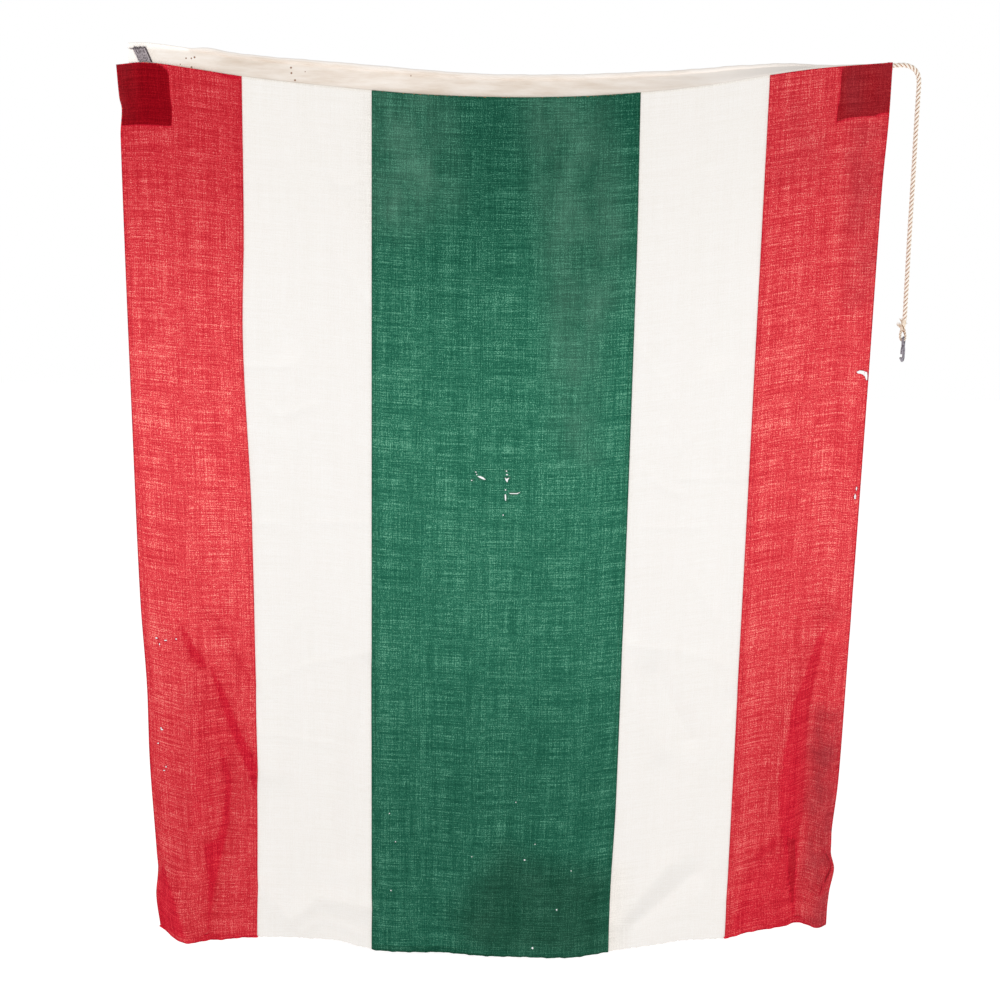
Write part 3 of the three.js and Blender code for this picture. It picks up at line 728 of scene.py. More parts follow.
RED_BUNTING = BuntingFinish(
    "red_wool_bunting", dark="#a81824", body="#be2530", pale="#ce3b43", slub="#e2716f",
    folded="#c00527", doubled_shade="#83000e", greyed="#8e3137", backlit=(1.4, 2.4, 1.98), contrast=0.68)
GREEN_BUNTING = BuntingFinish(
    "green_wool_bunting", dark="#0f4232", body="#184f3d", pale="#28634e", slub="#528c75",
    folded="#07301f", doubled_shade="#07301f", greyed="#4c7b67", backlit=(2.1, 1.75, 1.75), contrast=0.7)
WHITE_BUNTING = BuntingFinish(
    "white_cotton_bunting", dark="#e7e3dd", body="#ebe7e2", pale="#edeae6", slub="#f0ede9",
    folded="#e4dccf", doubled_shade="#e4dccf", greyed="#e6e0d8", backlit=(1.03, 1.035, 1.045), contrast=0.5,
    bump=0.08)
# The square's dark red is painted shade: two layers let less light through, so it is painted darker than
# the stripes' red
PATCH_CLOTH = BuntingFinish(
    "red_cotton_twill_painted_shade", dark="#7d0414", body="#8c0a1c", pale="#9a1a29", slub="#b03a45",
    folded="#7a0313", doubled_shade="#7a0313", greyed="#7c2a24", backlit=(1.2, 1.3, 1.3), contrast=0.6)


@dataclass(frozen=True)
class CanvasFinish:
    """Unbleached cotton canvas: a close plain weave, handled and a little soiled, with rust specks."""

    name: str = "cotton_canvas"
    body: str = "#e8ddd2"
    worn: str = "#d8c8b8"
    clean: str = "#f3ece5"
    bleach_and_light: str = "#fff8f1"
    rust: str = "#7a4a22"
    # Places of rust specks on the heading and their radius
    specks: tuple[tuple[float, float, float], ...] = (
        (-604, 18, 1.3), (-594, 18, 1.3), (-588, 20, 1.6), (-594, 2, 1.6), (-615, 7, 0.9),
        (-407, 5, 1.6), (-406, -5, 1.6), (-399, -18, 1.6), (-380, -2, 0.9), (-180, -6, 1.0),
    )

    def make(self) -> Material:
        """Builds the material.

        Returns:
            A new material on Object coordinates.
        """
        material, tree, shader = new_material(self.name, {
            "Roughness": 0.9, "Specular IOR Level": 0.2, "Sheen Weight": 0.08, "Sheen Roughness": 0.6,
        })
        place = add_node(tree, "ShaderNodeTexCoord").outputs["Object"]
        long_way = add_node(tree, "ShaderNodeMapping", {"Scale": (9.0, 60.0, 60.0)}, {"Vector": place})
        soil = add_node(tree, "ShaderNodeTexNoise", {"Scale": 1.0, "Detail": 4.0, "Roughness": 0.6},
                        {"Vector": long_way})
        colour = ramp_stops(add_node(tree, "ShaderNodeValToRGB", links={0: soil}), (
            (0.3, self.worn), (0.52, self.body), (0.75, self.clean))).outputs[0]
        # Sun bleaching and painted light from the tone: a painted highlight on the lip's top, and leaning
        # canvas painted lighter against its shade
        colour = add_node(tree, "ShaderNodeMix", {"data_type": "RGBA", 7: linear(self.bleach_and_light)},
                          {0: read_tone(tree)[0], 6: colour}).outputs[2]
        # Threads are 0.8 mm apart, and are drawn 1.1 mm apart so that they show
        weave = add_node(tree, "ShaderNodeTexNoise", {"Scale": 1 / (1.1 * MM), "Detail": 1.0},
                         {"Vector": place})
        nearest = add_node(tree, "ShaderNodeValue").outputs[0]
        nearest.default_value = 0.0
        for x, z, radius in self.specks:
            flat = add_node(tree, "ShaderNodeVectorMath", {"operation": "MULTIPLY", 1: (1.0, 0.0, 1.0)},
                            {0: place})
            away = add_node(tree, "ShaderNodeVectorMath", {
                "operation": "DISTANCE", 1: (x * MM, 0.0, z * MM),
            }, {0: flat})
            spot = add_node(tree, "ShaderNodeMapRange", {
                "From Min": radius * 1.5 * MM, "From Max": radius * 0.6 * MM,
            }, {"Value": away.outputs["Value"]})
            nearest = add_node(tree, "ShaderNodeMath", {"operation": "MAXIMUM"},
                               {0: nearest, 1: spot}).outputs[0]
        colour = add_node(tree, "ShaderNodeMix", {"data_type": "RGBA", 7: linear(self.rust)},
                          {0: nearest, 6: colour}).outputs[2]
        tree.links.new(colour, shader.inputs["Base Color"])
        bump = add_node(tree, "ShaderNodeBump", {"Strength": 0.3, "Distance": 0.5 * MM},
                        {"Height": weave})
        tree.links.new(bump.outputs[0], shader.inputs["Normal"])
        return material


@dataclass(frozen=True)
class YarnFinish:
    """Spun yarn: twisted fibres, matt, with painted light and shade: paler on top and deeper in the grooves
    between yarns.
    """

    name: str
    high: str
    low: str
    # Fibre streaks in millimetres, and how strongly they mottle the yarn
    streak: float = 1.2
    mottle: float = 0.7

    def make(self) -> Material:
        """Builds the material.

        Returns:
            A new material that reads the yarn's tone where the piece has one.
        """
        material, tree, shader = new_material(self.name, {
            "Roughness": 0.88, "Specular IOR Level": 0.2, "Sheen Weight": 0.1, "Sheen Roughness": 0.5,
        })
        place = add_node(tree, "ShaderNodeTexCoord").outputs["Object"]
        fibre = add_node(tree, "ShaderNodeTexNoise", {"Scale": 1 / (self.streak * MM), "Detail": 2.0},
                         {"Vector": place})
        centred = add_node(tree, "ShaderNodeMath", {"operation": "SUBTRACT", 1: 0.5}, {0: fibre})
        level = add_node(tree, "ShaderNodeMath", {
            "operation": "MULTIPLY_ADD", 1: self.mottle, "use_clamp": True,
        }, {0: centred, 2: read_tone(tree)[0]})
        colour = add_node(tree, "ShaderNodeMix", {
            "data_type": "RGBA", 6: linear(self.high), 7: linear(self.low),
        }, {0: level})
        tree.links.new(colour.outputs[2], shader.inputs["Base Color"])
        bump = add_node(tree, "ShaderNodeBump", {"Strength": 0.35, "Distance": 0.4 * MM},
                        {"Height": fibre})
        tree.links.new(bump.outputs[0], shader.inputs["Normal"])
        return material


@dataclass(frozen=True)
class CastFinish:
    """Cast zinc alloy with a dull grey skin, pitted by the mould and rubbed brighter in places."""

    name: str = "cast_zinc_alloy"
    skin: str = "#8d8890"
    rubbed: str = "#b9b4ba"
    pitted: str = "#4b474d"

    def make(self) -> Material:
        """Builds the material.

        Returns:
            A new material on Object coordinates.
        """
        material, tree, shader = new_material(self.name, {"Metallic": 0.6, "Roughness": 0.5})
        place = add_node(tree, "ShaderNodeTexCoord").outputs["Object"]
        # Grit of the mould, about 1.5 mm
        grit = add_node(tree, "ShaderNodeTexNoise", {"Scale": 1 / (1.5 * MM), "Detail": 4.0},
                        {"Vector": place})
        colour = ramp_stops(add_node(tree, "ShaderNodeValToRGB", links={0: grit}), (
            (0.3, self.pitted), (0.5, self.skin), (0.72, self.rubbed)))
        rough = add_node(tree, "ShaderNodeMapRange", {"To Min": 0.62, "To Max": 0.4},
                         {"Value": grit})
        bump = add_node(tree, "ShaderNodeBump", {"Strength": 0.4, "Distance": 0.5 * MM},
                        {"Height": grit})
        tree.links.new(colour.outputs[0], shader.inputs["Base Color"])
        tree.links.new(rough.outputs[0], shader.inputs["Roughness"])
        tree.links.new(bump.outputs[0], shader.inputs["Normal"])
        return material


class Side(Enum):
    """What happens to the cloth at a side of a stripe, as how far it is turned back."""

    HEM = SIDE_HEM
    TURNED = SEAM_LAP
    FLAT = 0.0


# Bands of painted shade where the cloth lies in two layers at a side, from the side inwards: how far in
# each ends, and how deep its painted shade is
EDGE_BANDS = {
    Side.HEM: ((1.7, 0.66), (9.0, 0.1)),
    Side.TURNED: ((1.7, 0.45), (6.8, 0.06), (8.6, 0.3)),
    Side.FLAT: ((8.6, 0.1),),
}
# The same for a bottom hem, upwards
BOTTOM_BANDS = ((BOTTOM_HEM, 0.3), (4.5, 0.7))


@dataclass(frozen=True)
class GridLine:
    """One column of a stripe's grid: its share of the width, an offset and the cloth past its fold."""

    share: float
    offset: float = 0.0
    past: float = 0.0


TURN_STEPS = (0.25, 0.5, 0.75, 1.0)


def turned_lines(share: float, hem: float, radius: float) -> list[GridLine]:
    """Lists the columns that turn round a folded edge and lie back behind it.

    Args:
        share: 0 at the left edge of the stripe, 1 at its right.
        hem: how far the cloth reaches back.
        radius: of the turn.

    Returns:
        The columns, from the edge onwards.
    """
    half_turn = math.pi * radius
    around = [GridLine(share, 0.0, half_turn * step) for step in TURN_STEPS]
    return [*around, *(GridLine(share, 0.0, half_turn + hem * step) for step in (0.4, 1.0))]


@dataclass
class Stripe:
    """One stripe of bunting, from the heading seam to its bottom edge."""

    name: str
    left: SmoothCurve
    right: SmoothCurve
    layer: int
    left_side: Side
    right_side: Side
    finish: BuntingFinish
    slot: str
    cell: float = CELL
    raw_bottom: bool = False
    patch: Corner | None = None
    tears: tuple[Line, ...] = ()
    pinholes: tuple[tuple[float, float, float, float], ...] = ()
    edge_lines: tuple[float, ...] = (0.0, 1.1, 2.3, 6.6, 7.7, 8.8, 10.2)
    seed: int = 1
    lines: list[GridLine] = field(default_factory=list)
    runs: list[tuple[float, float]] = field(default_factory=list)

    def width(self) -> float:
        """Returns the stripe's width at the heading."""
        return float(self.right.at(0.0) - self.left.at(0.0))

    def lay_out(self) -> None:
        """Chooses the grid's columns and rows, closer where seams, hems and patches end."""
        inner = self.edge_lines[-1] / self.width()
        steps = round((1 - 2 * inner) * self.width() / self.cell)
        middle = [mix(inner, 1 - inner, i / steps) for i in range(1, steps)]
        if self.patch:
            far = (PATCH_INSET + PATCH_WIDTH) / self.width()
            ends = [far - TONE_EDGE / self.width(), far + TONE_EDGE / self.width()]
            if self.patch is Corner.RIGHT:
                ends = [1 - share for share in reversed(ends)]
            clear = 0.4 * self.cell / self.width()
            middle = sorted([s for s in middle if abs(s - sum(ends) / 2) > clear] + ends)
        near = [GridLine(0.0, offset) for offset in self.edge_lines]
        far_side = [GridLine(1.0, -offset) for offset in reversed(self.edge_lines)]
        self.lines = [*near, *(GridLine(share) for share in middle), *far_side]
        if self.left_side is Side.FLAT:
            self.lines = [GridLine(0.0, -SEAM_LAP), GridLine(0.0, -4.0), *self.lines]
        else:
            self.lines = [*reversed(turned_lines(0.0, self.left_side.value, TURN_RADIUS)), *self.lines]
        if self.right_side is Side.FLAT:
            self.lines = [*self.lines, GridLine(1.0, 4.0), GridLine(1.0, SEAM_LAP)]
        else:
            self.lines = [*self.lines, *turned_lines(1.0, self.right_side.value, TURN_RADIUS)]
        rows = round(CLOTH_LENGTH / CELL)
        runs = [CLOTH_LENGTH * i / rows for i in range(rows + 1)]
        if self.patch:
            runs = [r for r in runs if abs(r - PATCH_HEIGHT) > 0.4 * CELL]
            runs += [PATCH_HEIGHT - TONE_EDGE, PATCH_HEIGHT + TONE_EDGE]
        if not self.raw_bottom:
            hem_top = CLOTH_LENGTH - BOTTOM_HEM
            runs = [r for r in runs if abs(r - hem_top) > 1.5] + [hem_top - 0.8, hem_top + 0.8]
            runs += [CLOTH_LENGTH - 1.6]
        self.runs = [(run, 0.0) for run in sorted(runs)]
        if not self.raw_bottom:
            hem = turned_lines(0.0, BOTTOM_HEM, ROLL_RADIUS)
            self.runs += [(CLOTH_LENGTH, line.past) for line in hem]

    def place(self, share: Array | float, offset: Array | float, run: Array | float) -> Array:
        """Finds points on the stripe's front face. At least one of the three is an array.

        Args:
            share: shares of the width.
            offset: offsets from there, in millimetres.
            run: distances down from the heading seam.

        Returns:
            One row of x, y and z for each point.
        """
        x = mix(self.left.at(run), self.right.at(run), share) + offset
        top_x = mix(self.left.at(0.0), self.right.at(0.0), share) + offset
        low_x = mix(self.left.at(CLOTH_LENGTH), self.right.at(CLOTH_LENGTH), share) + offset
        z = mix(SEAM_HEIGHT.at(top_x), BOTTOM_HEIGHT.at(low_x), run / CLOTH_LENGTH)
        y = FACE_Y + self.layer * LAYER + cloth_depth(x, z)
        return np.stack([x, y, z], -1)

    def tone(self, points: Array, share: Array, offset: Array, run: Array) -> Array:
        """Works out the painted shade where the cloth lies in two layers or folds, where it is greyer, and
        its painted backlight.

        Args:
            points: the grid's points.
            share: their shares of the width.
            offset: their offsets from there.
            run: their distances down the cloth.

        Returns:
            One row of painted shade, greyer share and painted backlight for each point.
        """
        x, z = points[:, 0], points[:, 2]
        doubled_shade, greyed = strongest(PAINTED_SHADE_AREAS, x, z), strongest(GREYED_AREAS, x, z)
        from_left = np.where(share == 0.0, offset, share * self.width())
        from_right = np.where(share == 1.0, -offset, (1 - share) * self.width())
        for away, side in ((from_left, self.left_side), (from_right, self.right_side)):
            ends, tones = zip(*EDGE_BANDS[side])
            doubled_shade = np.maximum(doubled_shade, np.select([away < end for end in ends], tones, 0.0))
        if not self.raw_bottom:
            for high, level in BOTTOM_BANDS:
                doubled_shade = np.maximum(doubled_shade, np.where(run > CLOTH_LENGTH - high, level, 0.0))
        # Painted shade along the seam with the heading, over the first few millimetres
        doubled_shade = np.maximum(doubled_shade, 0.5 * smooth_rise(1 - run / 4.0))
        if self.patch:
            # Painted shade where the corner patch behind lets less light through the cloth
            sewn = PATCH_SHADE[self.patch].share_at(x, z)
            if self.patch is Corner.LEFT:
                within = PATCH_INSET + PATCH_WIDTH + TONE_EDGE - from_left
                sewn = sewn * smooth_rise(within / (2 * TONE_EDGE))
            doubled_shade = np.maximum(doubled_shade, sewn)
        backlit = PAINTED_BACKLIGHT.at(run)
        # The right red stripe gets more of this painted lightening, most of all near the heading
        if self.patch is Corner.RIGHT:
            backlit = mix(0.12, 1.0, 0.86 * backlit) + 0.3 * smooth_rise(1 - run / 420.0)
        return np.stack([doubled_shade, greyed, backlit], -1)

    def build(self) -> Piece:
        """Builds the stripe's cloth, turns its hems and cuts its tears.

        Returns:
            The finished piece.
        """
        self.lay_out()
        name = self.name.replace("panel", "bunting")
        piece, column, row = grid_piece(name, len(self.lines), len(self.runs))
        share = np.array([line.share for line in self.lines])[column]
        offset = np.array([line.offset for line in self.lines])[column]
        past = np.array([line.past for line in self.lines])[column]
        run = np.array([r for r, _ in self.runs])[row]
        rolled = np.array([p for _, p in self.runs])[row]
        points = self.place(share, offset, run)
        tone = self.tone(points, share, offset, run)
        outwards = np.where(share == 0.0, -1.0, 1.0)
        dx, dy = turned(past, TURN_RADIUS)
        dz, roll_y = turned(rolled, ROLL_RADIUS)
        points += np.stack([outwards * dx, dy + roll_y + BUNTING / 2, -dz], -1)
        if self.raw_bottom:
            ragged = np.random.default_rng(self.seed)
            last = row == len(self.runs) - 1
            points[last, 2] += ragged.uniform(-1.6, 1.4, last.sum())
        else:
            pucker = 0.5 * np.sin(points[:, 0] / 5.3) + 0.35 * np.sin(points[:, 0] / 2.9 + 1.0)
            in_hem = smooth_rise((run - CLOTH_LENGTH + BOTTOM_HEM) / BOTTOM_HEM)
            points[:, 1] += pucker * in_hem
            points[:, 2] += 0.6 * pucker * in_hem
        set_points(piece, points)
        set_tone(piece, tone)
        set_cloth_uv(piece, share * self.width() + offset + outwards * past, run + rolled)
        apply_modifier(piece, "SOLIDIFY", thickness=BUNTING * MM, offset=0.0)
        self.cut(piece)
        smooth(piece, 50)
        dress(piece, self.finish.make(), self.name)
        wide = self.width() + self.left_side.value + self.right_side.value
        return piece

    def cut(self, piece: Piece) -> None:
        """Cuts the tears and pinholes through the cloth.

        Args:
            piece: the stripe's cloth.
        """
        outlines = [*self.tears]
        for x, z, wide, high in self.pinholes:
            # Six-sided and uneven, and drawn a little large to show at this distance
            wide, high = 1.3 * wide, 1.3 * high
            ring = [2 * math.pi * i / 6 + 0.3 * math.sin(x + i) for i in range(6)]
            outlines.append(tuple((x + wide / 2 * math.cos(a), z + high / 2 * math.sin(a)) for a in ring))
        if not outlines:
            return
        cutter = cutting_prisms(outlines)
        apply_modifier(piece, "BOOLEAN", operation="DIFFERENCE", solver="EXACT", object=cutter)
        bpy.data.objects.remove(cutter)


def grid_piece(name: str, columns: int, rows: int) -> tuple[Piece, Array, Array]:
    """Adds a flat grid, to be shaped.

    Args:
        name: the piece's name.
        columns: its number of points across.
        rows: its number of points down.

    Returns:
        The piece, and the column and the row of each point, with row 0 at the top.
    """
    deselect()
    bpy.ops.mesh.primitive_grid_add(x_subdivisions=columns - 1, y_subdivisions=rows - 1, size=1.0)
    piece = bpy.context.object
    piece.name = piece.data.name = name
    flat = np.zeros(len(piece.data.vertices) * 3)
    piece.data.vertices.foreach_get("co", flat)
    flat = flat.reshape(-1, 3)
    column = np.rint((flat[:, 0] - flat[:, 0].min()) / np.ptp(flat[:, 0]) * (columns - 1)).astype(int)
    row = np.rint((flat[:, 1].max() - flat[:, 1]) / np.ptp(flat[:, 1]) * (rows - 1)).astype(int)
    return piece, column, row


def turned(past: Array, radius: float) -> tuple[Array, Array]:
    """Follows cloth round a turn and back behind itself.

    Args:
        past: lengths of cloth past the edge.
        radius: of the turn.

    Returns:
        How far it stands beyond the edge, and how far behind it.
    """
    angle = np.minimum(past / radius, math.pi)
    beyond = radius * np.sin(angle) - np.maximum(past - math.pi * radius, 0.0)
    return beyond, radius * (1 - np.cos(angle))


def set_points(piece: Piece, points: Array) -> None:
    """Moves a piece's points to places in millimetres."""
    piece.data.vertices.foreach_set("co", (points * MM).astype(np.float32).ravel())
    piece.data.update()


def set_tone(piece: Piece, tone: Array) -> None:
    """Stores shares for each point as the colour attribute tone.

    Args:
        piece: the piece.
        tone: one share for each point, or one row of three.
    """
    if tone.ndim == 1:
        tone = np.c_[tone, 0 * tone, 0 * tone]
    layer = piece.data.color_attributes.new("tone", "FLOAT_COLOR", "POINT")
    layer.data.foreach_set("color", np.c_[tone, np.ones(len(tone))].astype(np.float32).ravel())


def set_cloth_uv(piece: Piece, across: Array, down: Array) -> None:
    """Lays a UV map named cloth over a piece, in metres along and down its cloth.

    Args:
        piece: the piece.
        across: each point's place across the cloth, in millimetres.
        down: each point's place down it.
    """
    mesh = piece.data
    while mesh.uv_layers:
        mesh.uv_layers.remove(mesh.uv_layers[0])
    layer = mesh.uv_layers.new(name="cloth")
    corners = np.zeros(len(mesh.loops), int)
    mesh.loops.foreach_get("vertex_index", corners)
    layer.data.foreach_set("uv", (np.c_[across, -down] * MM)[corners].astype(np.float32).ravel())


def cutting_prisms(outlines: Sequence[Line]) -> Piece:
    """Makes prisms through the cloth over outlines of (x, z), for cutting.

    Args:
        outlines: one outline for each prism.

    Returns:
        One object with all the prisms, facing outwards.
    """
    points: list[tuple[float, float, float]] = []
    faces: list[list[int]] = []
    for outline in outlines:
        area = sum(a[0] * b[1] - b[0] * a[1] for a, b in zip(outline, (*outline[1:], outline[0])))
        ring = list(outline) if area > 0 else list(reversed(outline))
        first, count = len(points), len(ring)
        points += [(x, y, z) for y in CUT_THROUGH for x, z in ring]
        faces.append([first + i for i in range(count)])
        faces.append([first + count + i for i in reversed(range(count))])
        for i in range(count):
            j = (i + 1) % count
            faces.append([first + j, first + i, first + count + i, first + count + j])
    return new_piece("cutter", np.array(points), faces)


@dataclass
class Heading:
    """The canvas heading: one strip folded over the rope, with its right end open."""

    steps: int = 260
    lip_steps: int = 14

    def stations(self) -> list[tuple[float, float]]:
        """Lists the strip's places, from front to back.

        Returns:
            The kind of stretch and the share of it: seam allowance, band and lip, and back down.
        """
        front = [(0.0, s) for s in (0.0, 0.5, 1.0)]
        rise = [(1.0, s) for s in np.linspace(0.12, 1.0, 9)]
        lip = [(2.0, (i + 1) / self.lip_steps) for i in range(self.lip_steps)]
        fall = [(3.0, 1 - s) for s in np.linspace(0.0, 0.88, 9)][1:]
        back = [(4.0, s) for s in (1.0, 0.5, 0.0)]
        return [*front, *rise, *lip, *fall, *back]

    def point(self, x: Array, s: Array, n: Array) -> Array:
        """Finds points by their way up the heading and back from its middle.

        Args:
            x: places along the heading.
            s: ways up its middle from the seam.
            n: ways back from there.

        Returns:
            One row of x, y and z for each point.
        """
        lean = np.radians(HEADING_LEAN.at(x))
        arc = np.clip(s / HINGE_RADIUS, 0, lean)
        past = np.where(s > 0, s - arc * HINGE_RADIUS, s)
        y = HEADING_MIDDLE + HINGE_RADIUS * (1 - np.cos(arc)) + past * np.sin(arc) + n * np.cos(arc)
        z = SEAM_HEIGHT.at(x) + HINGE_RADIUS * np.sin(arc) + past * np.cos(arc) - n * np.sin(arc)
        return np.stack([x, y, z], -1)

    def build(self) -> Piece:
        """Builds the folded strip.

        Returns:
            The finished piece.
        """
        stations = np.array(self.stations())
        piece, column, row = grid_piece("canvas_heading", self.steps + 1, len(stations))
        x = mix(HEADING_LEFT, HEADING_RIGHT, column / self.steps)
        kind, share = stations[row].T
        band, lip = BAND_HEIGHT.at(x), LIP_RADIUS.at(x) - CANVAS / 2
        half = CANVAS / 2 + 0.08
        open_angle = np.arcsin(half / lip)
        angle = mix(open_angle - math.pi, math.pi - open_angle, share)
        s = np.select([kind == 0, kind == 1, kind == 2, kind == 3, kind == 4], [
            -ALLOWANCE * (1 - share), band * share, band + lip + lip * np.cos(angle),
            band * share, -ALLOWANCE * (1 - share)])
        n = np.select([kind <= 1, kind == 2, kind >= 3], [-half + 0 * x, lip * np.sin(angle), half + 0 * x])
        # Slack in the rolled lip and faint puckers along the stitched band
        wave = np.sin(x / 13.0) + 0.7 * np.sin(x / 5.1 + 1.7) + 0.8 * np.sin(x / 31.0 + 0.6)
        loose = np.where(kind == 2, 0.32, np.where(kind == 1, 0.14 * share, 0.0))
        n = n + np.sign(n) * loose * wave
        points = self.point(x, s + loose * wave * 0.6, n)
        # At the right end the canvas turns back from just below the stripe's top edge
        points[:, 2] -= 3.2 * smooth_rise((x - 590) / 40) * (1 - smooth_rise((s - 4) / 22))
        set_points(piece, points)
        # Sun bleaching lightens the ends and the top of the left end; the rolled lip's top carries a
        # painted highlight, and the canvas that leans back towards the right end is painted lighter against
        # its shade
        top = smooth_rise((s - 22 - 0.07 * (x + 665)) / 6) * smooth_rise((-592 - x) / 12)
        ends = np.maximum(smooth_rise((-684 - x) / 10), smooth_rise((x - 555) / 45))
        lip_top = 0.9 * smooth_rise((s - band - lip * 0.7) / (0.8 * lip))
        leaning = 0.32 * smooth_rise((x - 150) / 120) + 0.5 * smooth_rise((x - 330) / 100)
        bleach_and_light = np.maximum(np.maximum(top, ends), np.maximum(lip_top, leaning))
        set_tone(piece, bleach_and_light)
        apply_modifier(piece, "SOLIDIFY", thickness=CANVAS * MM, offset=0.0)
        smooth(piece, 60)
        dress(piece, CanvasFinish().make(), "heading")
        return piece


@dataclass
class CornerPatch:
    """A reinforcing square sewn behind a top corner of the flag."""

    name: str
    edge: SmoothCurve
    corner: Corner
    steps: int = 26

    def build(self) -> Piece:
        """Builds the square, with its edges turned in.

        Returns:
            The finished piece.
        """
        inward = self.corner.value
        name = self.name.replace("corner_patch", "corner_square")
        piece, column, row = grid_piece(name, self.steps + 1, self.steps + 1)
        across, down_share = column / self.steps, row / self.steps
        near = self.edge.at(0.0) + inward * PATCH_INSET
        x = near + inward * PATCH_WIDTH * across
        down = PATCH_HEIGHT * down_share
        shift = (self.edge.at(down) - self.edge.at(0.0)) * (1 - across)
        z = SEAM_HEIGHT.at(x) - 0.3 - down
        rim = np.minimum(np.minimum(across, 1 - across), np.minimum(down_share, 1 - down_share))
        puff = 0.35 * smooth_rise(1 - rim * 14)
        y = FACE_Y + LAYER + 0.35 + puff + 0.12 * np.sin(x / 9) * np.sin(z / 11)
        set_points(piece, np.stack([x + shift, y, z], -1))
        # Painted shade: the square is darker towards its turned-in rim, where the cloth lies in two layers
        set_tone(piece, puff)
        set_cloth_uv(piece, x, down)
        apply_modifier(piece, "SOLIDIFY", thickness=BUNTING * MM, offset=0.0)
        smooth(piece)
        dress(piece, PATCH_CLOTH.make(), self.name)
        return piece


def tube(route: Array, radii: Array, sides: int) -> tuple[Array, list[list[int]]]:
    """Makes a closed round tube along a route.

    Args:
        route: its centre points, one row each.
        radii: its radius at each point.
        sides: sides of its section.

    Returns:
        Its points and its faces, numbered from nought.
    """
    start = np.cross(tangents_of(route)[0], (0.0, 1.0, 0.0))
    if np.linalg.norm(start) < 0.1:
        start = np.cross(tangents_of(route)[0], (1.0, 0.0, 0.0))
    angles = 2 * math.pi * np.arange(sides) / sides
    rings = []
    for centre, radius, side, other in zip(route, radii, *frames_along(route, start)):
        rings.append(centre + radius * (np.outer(np.cos(angles), side) + np.outer(np.sin(angles), other)))
    points = np.concatenate(rings)
    faces = [list(reversed(range(sides)))]
    for i in range(len(route) - 1):
        for j in range(sides):
            a, b = i * sides + j, i * sides + (j + 1) % sides
            faces.append([a, b, b + sides, a + sides])
    last = (len(route) - 1) * sides
    faces.append([last + j for j in range(sides)])
    return points, faces


@dataclass
class MeshPile:
    """Points, faces and tones gathered for one piece made of many threads."""

    points: list[Array] = field(default_factory=list)
    faces: list[list[int]] = field(default_factory=list)
    tones: list[Array] = field(default_factory=list)
    count: int = 0

    def add(self, points: Array, faces: Faces, tone: Array | float = 0.0) -> None:
        """Adds a thread or a stitch.

        Args:
            points: its points.
            faces: its faces, numbered from nought.
            tone: its tone, one for all or one for each point.
        """
        self.faces += [[self.count + i for i in face] for face in faces]
        self.points.append(points)
        self.tones.append(np.broadcast_to(tone, len(points)).astype(float))
        self.count += len(points)

    def add_tube(self, route: Array, radii: Array, sides: int, tone: Array | float = 0.0) -> None:
        """Adds a tube.

        Args:
            route: its centre points.
            radii: its radius at each point.
            sides: sides of its section.
            tone: its tone, one for all or one for each point of the route.
        """
        points, faces = tube(route, radii, sides)
        spread = np.repeat(tone, sides) if np.ndim(tone) else tone
        self.add(points, faces, spread)

    def build(self, name: str) -> Piece:
        """Makes the piece.

        Args:
            name: the piece's name.

        Returns:
            The new piece, with its tones stored.
        """
        piece = new_piece(name, np.concatenate(self.points), self.faces)
        set_tone(piece, np.concatenate(self.tones))
        return piece


def distances_along(route: Array) -> Array:
    """Returns how far along a route each of its points lies."""
    return np.r_[0.0, np.cumsum(np.linalg.norm(np.diff(route, axis=0), axis=1))]


def read_along(route: Array, along: Array, places: Array) -> Array:
    """Finds points on a route.

    Args:
        route: its own points.
        along: how far along it they lie.
        places: distances along it to read.

    Returns:
        One point for each place.
    """
    return np.stack([np.interp(places, along, column) for column in route.T], -1)


def smooth_route(points: Route, steps: int) -> Array:
    """Follows a smooth curve through points at even steps.

    Args:
        points: the route, as (x, y, z).
        steps: number of steps.

    Returns:
        The points of the curve, evenly spaced.
    """
    given = np.array(points, float)
    along = distances_along(given)
    columns = [SmoothCurve(tuple(zip(along, column))) for column in given.T]
    fine = np.stack([curve.at(np.linspace(0, along[-1], steps * 8)) for curve in columns], -1)
    lengths = distances_along(fine)
    return read_along(fine, lengths, np.linspace(0, lengths[-1], steps + 1))


def length_of(route: Array) -> float:
    """Returns the length of a route."""
    return float(np.linalg.norm(np.diff(route, axis=0), axis=1).sum())


def tangents_of(route: Array) -> Array:
    """Returns the direction of a route at each of its points."""
    tangents = np.gradient(route, axis=0)
    return tangents / np.linalg.norm(tangents, axis=1)[:, None]


def frames_along(route: Array, start: Array) -> tuple[Array, Array]:
    """Finds two directions square to a route that don't twist along it.

    Args:
        route: the points of the route.
        start: roughly the first direction where it begins.

    Returns:
        The two directions at each point.
    """
    side = start
    sides, others = [], []
    for tangent in tangents_of(route):
        side = side - tangent * side.dot(tangent)
        side = side / np.linalg.norm(side)
        sides.append(side)
        others.append(np.cross(tangent, side))
    return np.array(sides), np.array(others)


